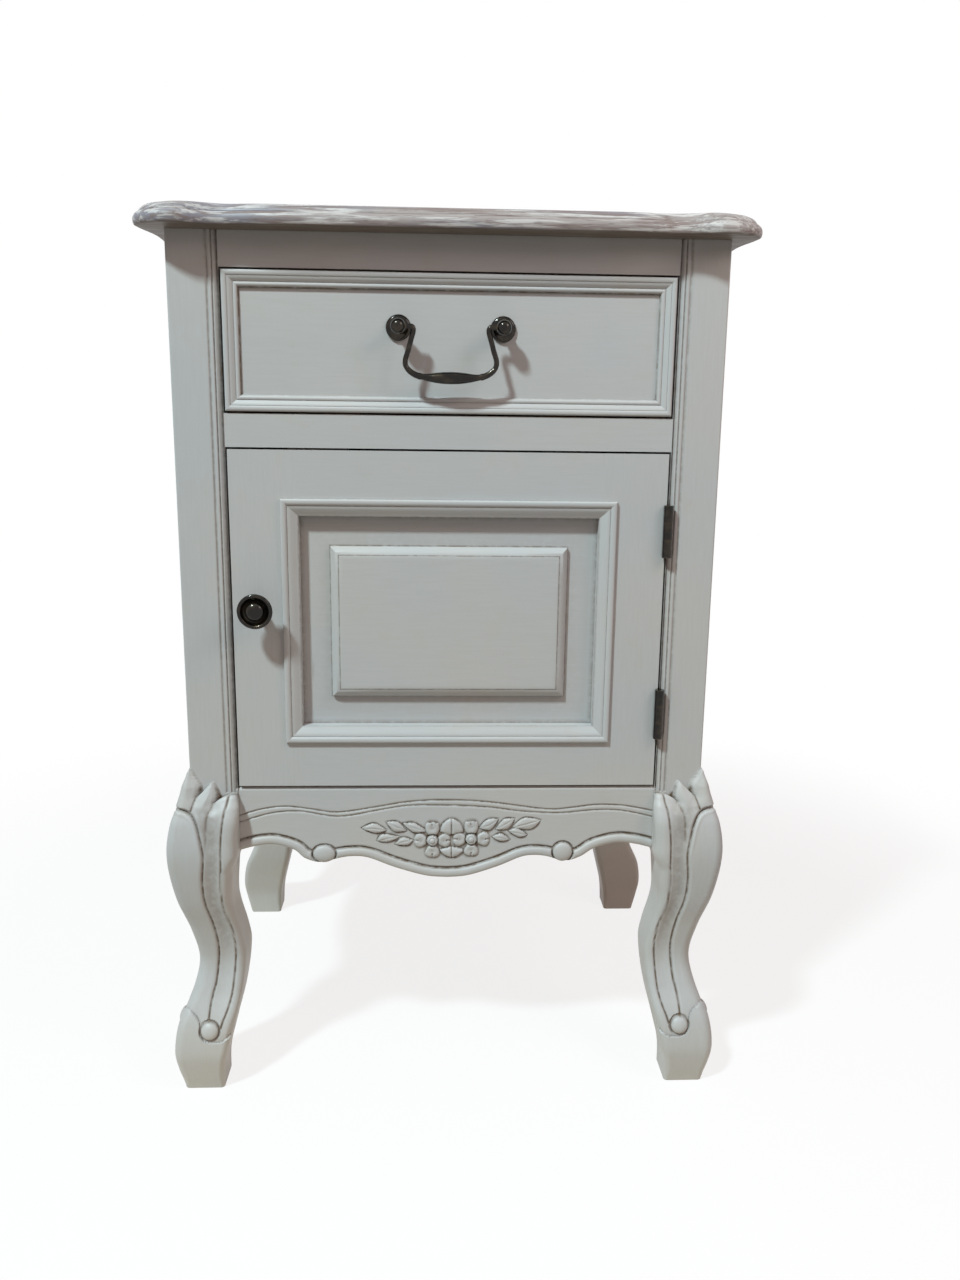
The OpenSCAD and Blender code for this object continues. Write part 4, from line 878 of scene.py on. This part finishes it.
# Their glaze, by distance in from the outer edge, and its share on the two sides that hold less. The share
# paints shade: the top and left sides, which face away from the light, stay darker than the bottom and right
DRAWER_STAIN = [(3.9, 0), (4.15, 0.5), (4.4, 0), (7.9, 0), (8.15, 0.45), (8.4, 0), (10.9, 0),
                (11.4, 0.75), (12, 1)]
DOOR_STAIN = [(4.6, 0), (5.0, 0.75), (5.3, 0.1), (7, 0), (11.8, 0), (13, 0.6)]
STAIN_AND_SHADE_SHARE = {"bottom": 0.3, "right": 0.65}


def add_frame(prefix, half_x, half_z, mid_z, face, section, stain):
    """Four mitred lengths of moulding on a face, round a middle at height mid_z."""
    u, up = section.T
    for side in ("bottom", "right", "top", "left"):
        level = side in ("bottom", "top")
        long, short = (half_x, half_z) if level else (half_z, half_x)
        across = (short - u) * (-1 if side in ("bottom", "left") else 1)
        ends = []
        for along in (u - long, long - u):
            x, z = (along, across) if level else (across, along)
            ends.append(np.column_stack([x, face - up, mid_z + z]))
        rings = ends[0] + (ends[1] - ends[0]) * np.linspace(0, 1, 9)[:, None, None]
        name = prefix + "_" + side
        # The share by side paints shade: heavier on the top and left, lighter on the bottom and right
        glaze_and_shade = np.tile(STAIN_AND_SHADE_SHARE.get(side, 1.0) * follow(stain, u), len(rings))
        add_loft(name + "_run", rings, [name], PAINT_X if level else PAINT_Z, 50, glaze_and_shade)


# The panel: distance in from the frame's opening, depth behind the door's face, and glaze
PANEL_SECTION = [(-7, 15, 0), (-7, 9.5, 0), (0, 9.5, 0.5), (1.5, 9.5, 0.25), (4, 9.5, 0), (21.6, 9.5, 0.1),
                 (22.9, 9.45, 0.75), (23.0, 9.2, 0.8), (23.05, 6.8, 0.15), (23.3, 6.45, 0), (24.6, 5.2, 0),
                 (26.2, 3.85, 0), (27.6, 3.05, 0), (28.9, 2.55, 0.1), (29.3, 2.45, 0.7), (29.7, 2.4, 0.6),
                 (29.95, 2.1, 0.1), (30.4, 2.0, 0), (33, 2.0, 0)]


def add_door_panel():
    """The raised and fielded panel, as square rings from its back edge to its middle."""
    rings, glaze_and_shade = [], []
    steps = np.arange(6)[:, None] / 6
    for d, y, g in PANEL_SECTION:
        x, z = PANEL_X - d, PANEL_Z - d
        corners = np.array([(-x, -z), (x, -z), (x, z), (-x, z)])
        ring = np.concatenate([a + (b - a) * steps for a, b in zip(corners, np.roll(corners, -1, axis=0))])
        rings.append(np.column_stack([ring[:, 0], np.full(len(ring), y), DOOR_Z + ring[:, 1]]))
        glaze_and_shade.append([g] * len(ring))
    add_loft("door_panel_fielded", rings, ["door_panel"], PAINT_X, 30, glaze_and_shade)


# ---- Fittings ----

# The handle: the distance between its posts, and its pivot's place
HANDLE_CC = 76.5
PIVOT_Z = DRAWER_LO.z / MM + 61
PIVOT_OUT = 14.0
BALL_END_R = 5.5
POST_FOOT = spline([(8.8, 0.0), (9.3, 0.8), (9.0, 1.9), (7.9, 2.8), (6.0, 3.3), (4.6, 3.9), (3.8, 5.0)])
# The bail's arm, as x from its post and height from the pivot, and its grip, as x and height
BAIL_ARM = [(-3.3, 0), (-8, 0), (-10.4, -0.6), (-11.0, -3.4), (-9.2, -10), (-7.2, -17.2), (-5.3, -23.5),
            (-5.8, -28), (-9.4, -32), (-14.8, -34.6)]
BAIL_GRIP = [(16, -35.6), (8, -35.8), (0, -35.8)]
# The bail's radius by distance from its middle. Points over GRIP_Z are the arm's, and are read at ARM
GRIP_R = [(0, 4.4), (6, 4.2), (12, 3.5), (17, 2.6), (21, 2.1), (22.4, 2.5), (24, 2.3), (30, 2.1), (60, 1.9)]
GRIP_Z = -30
ARM = 60
# The knob: its place, its cup and the boss in its middle, as radius and distance out
KNOB_AT = (DOOR_LO.x / MM + 19.8, DOOR_LO.z / MM + 143.5)
KNOB_CUP = spline([(6.6, 2.2), (5.0, 3.4), (4.2, 5.5), (4.1, 9.5), (4.6, 12.4), (6.2, 14.2), (9.4, 15.3),
                   (12.0, 16.4), (13.05, 17.9), (13.25, 19.2), (12.8, 20.4), (11.6, 20.9), (10.6, 20.4)])
KNOB_BOSS = spline([(7.5, 18.3), (7.1, 19.6), (6.1, 21.1), (4.5, 22.2), (2.6, 22.8), (0.9, 23.0)])


def turned_rings(profile, x, z, face):
    """Rings round a line along -Y at x, z, from pairs of a radius and a distance out of the face."""
    w = np.linspace(0, 2 * np.pi, 56, endpoint=False)
    return np.array([[(x + r * math.cos(k), face - h, z + r * math.sin(k)) for k in w] for r, h in profile])


def add_handle_post(name, side):
    """A round foot and stem, with a ball at the pivot."""
    turns = np.radians(np.linspace(-48, 88, 20))
    ball = [(BALL_END_R * math.cos(w), PIVOT_OUT + BALL_END_R * math.sin(w)) for w in turns]
    profile = [(3.0, 0.0)] + POST_FOOT.tolist() + [(3.6, 7.0), (3.6, 9.4)] + ball
    rings = turned_rings(profile, side * HANDLE_CC / 2, PIVOT_Z, DRAWER_Y)
    add_loft(name + "_cast", rings, [name], BRONZE, 40)


def add_bail():
    """The bail, hanging straight down, as rings along its path."""
    right = spline([(HANDLE_CC / 2 + x, z) for x, z in BAIL_ARM] + BAIL_GRIP, 6)
    left = (right * np.array([-1, 1]))[::-1][1:]
    path = np.concatenate([right, left])
    tangent = np.gradient(path, axis=0)
    tangent /= np.linalg.norm(tangent, axis=1)[:, None]
    normal = np.stack([-tangent[:, 1], tangent[:, 0]], axis=1)
    from_middle = np.where(path[:, 1] < GRIP_Z, np.abs(path[:, 0]), ARM)
    r = follow(GRIP_R, from_middle)[:, None]
    k = np.linspace(0, 2 * np.pi, 20, endpoint=False)
    x, z = (path[:, i, None] + r * np.cos(k) * normal[:, i, None] for i in (0, 1))
    rings = np.stack([x, DRAWER_Y - PIVOT_OUT + r * np.sin(k), PIVOT_Z + z], axis=-1)
    add_loft("bail_cast", rings, ["bail"], BRONZE, 60)


def add_knob():
    """A flat foot, a neck that widens to a cup, and a boss in the cup."""
    profile = [(2.3, 0.0), (7.0, 0.0), (7.0, 1.4)] + KNOB_CUP.tolist()
    profile += [(10.0, 19.3), (9.0, 18.3), (7.9, 17.9)] + KNOB_BOSS.tolist()
    add_loft("door_knob_cast", turned_rings(profile, *KNOB_AT, 0), ["door_knob"], BRONZE, 45)


# ---- The scene ----

def dress_cad():
    """Every CAD node that stays in sight gets its material."""
    upright = ("leg", "side_panel", "door_stile", "moulding_left", "moulding_right")
    for name, obj in frame["nodes"].items():
        material = BY_SLOT[SLOTS[name]]
        if SLOTS[name] == "paint":
            if any(word in name for word in upright):
                material = PAINT_Z
            elif name.startswith(("side_apron", "floor")):
                material = PAINT_Y
        elif name == "back_panel":
            material = BARE_Z
        elif name in ("drawer_back", "drawer_stops", "drawer_bottom"):
            material = BARE_X
        obj.data.materials.clear()
        obj.data.materials.append(material)


def is_long(a, b):
    return (a - b).length > 60


def add_boards():
    """The boards whose sharp edges are eased. Each test picks edges by where their ends lie."""
    outer_x = FRONT_X - 10
    low, high = DOOR_LO.z / MM + 5, DOOR_HI.z / MM - 5
    for side in ("left", "right"):
        eased("door_stile_" + side, 0.7,
              lambda a, b: is_long(a, b) and min(abs(a.x), abs(b.x)) > outer_x, PAINT_Z)
        eased("side_apron_" + side, 1.2, lambda a, b: min(a.z, b.z) < 240, PAINT_Y)
        eased("side_panel_" + side, 0.6, is_long, PAINT_Z)
    eased("door_rail_top", 0.7, lambda a, b: is_long(a, b) and min(a.z, b.z) > high, PAINT_X)
    eased("door_rail_bottom", 0.7, lambda a, b: is_long(a, b) and max(a.z, b.z) < low, PAINT_X)
    for name in ("mid_rail", "frieze_rail"):
        eased(name, 0.9, lambda a, b: is_long(a, b) and max(a.y, b.y) < 3, PAINT_X)


# The camera, solved from the object's straight edges, in the frame's metres and in degrees
CAMERA_AT = (-0.0115, -0.9281, 0.5388)
CAMERA_YAW = 2.64
CAMERA_PITCH = 11.81
CAMERA_ROLL = 0.73
CAMERA_LENS = 28.56


def add_camera():
    yaw, pitch, roll = (math.radians(turn) for turn in (CAMERA_YAW, CAMERA_PITCH, CAMERA_ROLL))
    ahead = Vector((math.sin(yaw) * math.cos(pitch), math.cos(yaw) * math.cos(pitch), -math.sin(pitch)))
    right = Vector((math.cos(yaw), -math.sin(yaw), 0))
    up = right.cross(ahead)
    turned_right = math.cos(roll) * right + math.sin(roll) * up
    turned_up = -math.sin(roll) * right + math.cos(roll) * up
    data = bpy.data.cameras.new("camera")
    data.sensor_fit = "VERTICAL"
    data.sensor_height = 36
    data.lens = CAMERA_LENS
    data.clip_start = 0.01
    cam = add_object("camera", data)
    turn = Matrix([turned_right, turned_up, -ahead]).transposed().to_4x4()
    cam.matrix_world = Matrix.Translation(CAMERA_AT) @ turn
    bpy.context.scene.camera = cam


LAMP_AIM_Z = 0.38


def add_lamp(name, azimuth, elevation, distance, size, power, colour):
    """A round lamp aimed at the middle of the front, from degrees round it and up."""
    aim = Vector((0, FRONT, LAMP_AIM_Z))
    az, el = math.radians(azimuth), math.radians(elevation)
    towards = Vector((math.sin(az) * math.cos(el), -math.cos(az) * math.cos(el), math.sin(el)))
    data = bpy.data.lights.new(name, "AREA")
    data.shape = "DISK"
    data.size = size
    data.energy = power
    data.color = colour
    lamp = add_object(name, data)
    lamp.location = aim + towards * distance
    lamp.rotation_euler = towards.to_track_quat("Z", "Y").to_euler()


def direct_ray(t):
    """1 for rays that show a surface as it is: camera, glossy and transmission rays."""
    path = t.add("LightPath").outputs
    seen = t.math("MAXIMUM", path["Is Camera Ray"], path["Is Glossy Ray"])
    return t.math("MAXIMUM", seen, path["Is Transmission Ray"])


WHITE = (1, 1, 1, 1)
DIM = (1.0, 0.70, 0.62, 1)
DIM_STRENGTH = 0.27


def add_world():
    """White where it is seen, and dimmer and warmer where it only gives light."""
    world = bpy.data.worlds.new("studio")
    bpy.context.scene.world = world
    t = Tree(world, "OutputWorld")
    dim = t.add("Background", {"Color": DIM, "Strength": DIM_STRENGTH})
    white = t.add("Background", {"Color": WHITE})
    t.show(t.add("MixShader", {0: direct_ray(t), 1: dim.outputs[0], 2: white.outputs[0]}))


FLOOR_R = 6.0
FLOOR_Z = -0.0005
# The light that the floor throws back near the object and further out
FLOOR_NEAR = (0.75, 0.64, 0.48, 1)
FLOOR_FAR = (0.20, 0.19, 0.18, 1)
# What is seen of the floor: this much takes shadows, and the rest glows
FLOOR_SHADED = (0.17, 0.17, 0.17, 1)
FLOOR_GLOW = 0.82


def add_floor():
    """A white floor that keeps the object's shadow and fades into the white background."""
    bm = bmesh.new()
    bmesh.ops.create_circle(bm, cap_ends=True, segments=96, radius=FLOOR_R)
    mesh = bpy.data.meshes.new("floor")
    bm.to_mesh(mesh)
    bm.free()
    obj = add_object("floor", mesh)
    obj.location.z = FLOOR_Z
    t = new_material("pale_floor")
    spread = t.add("VectorMath", {0: t.place()}, operation="LENGTH").outputs["Value"]
    plain = t.add("BsdfDiffuse", {"Color": t.mix(t.remap(spread, 0.3, 0.75), FLOOR_NEAR, FLOOR_FAR)})
    seen = t.add("BsdfDiffuse", {"Color": FLOOR_SHADED})
    glow = t.add("Emission", {"Color": WHITE, "Strength": FLOOR_GLOW})
    near = t.add("AddShader", {0: seen.outputs[0], 1: glow.outputs[0]})
    far = t.add("Emission", {"Color": WHITE, "Strength": 1.0})
    shown = t.add("MixShader", {0: t.remap(spread, 0.45, 1.0), 1: near.outputs[0], 2: far.outputs[0]})
    both = t.add("MixShader", {0: direct_ray(t), 1: plain.outputs[0], 2: shown.outputs[0]})
    mesh.materials.append(t.show(both))


add_camera()
dress_cad()
for side, sign in (("left", -1), ("right", 1)):
    add_front_leg("leg_front_" + side, sign)
    add_back_leg("leg_back_" + side, sign)
add_top()
add_apron()
add_boards()
add_frame("drawer_moulding", FRONT_X, (DRAWER_HI.z - DRAWER_LO.z) / 2 / MM, DRAWER_Z,
          DRAWER_Y, DRAWER_SECTION, DRAWER_STAIN)
add_frame("door_moulding", PANEL_X + DOOR_MOULD_W, PANEL_Z + DOOR_MOULD_W, DOOR_Z,
          0, DOOR_SECTION, DOOR_STAIN)
add_door_panel()
add_handle_post("handle_post_left", -1)
add_handle_post("handle_post_right", 1)
add_bail()
add_knob()
add_world()
add_floor()
add_lamp("key", -42, 51, 4.0, 0.38, 158, (0.785, 0.975, 1.0))
add_lamp("fill", 55, 40, 1.2, 0.5, 3.2, (1.0, 0.86, 0.80))
bpy.context.scene.view_settings.view_transform = "Standard"
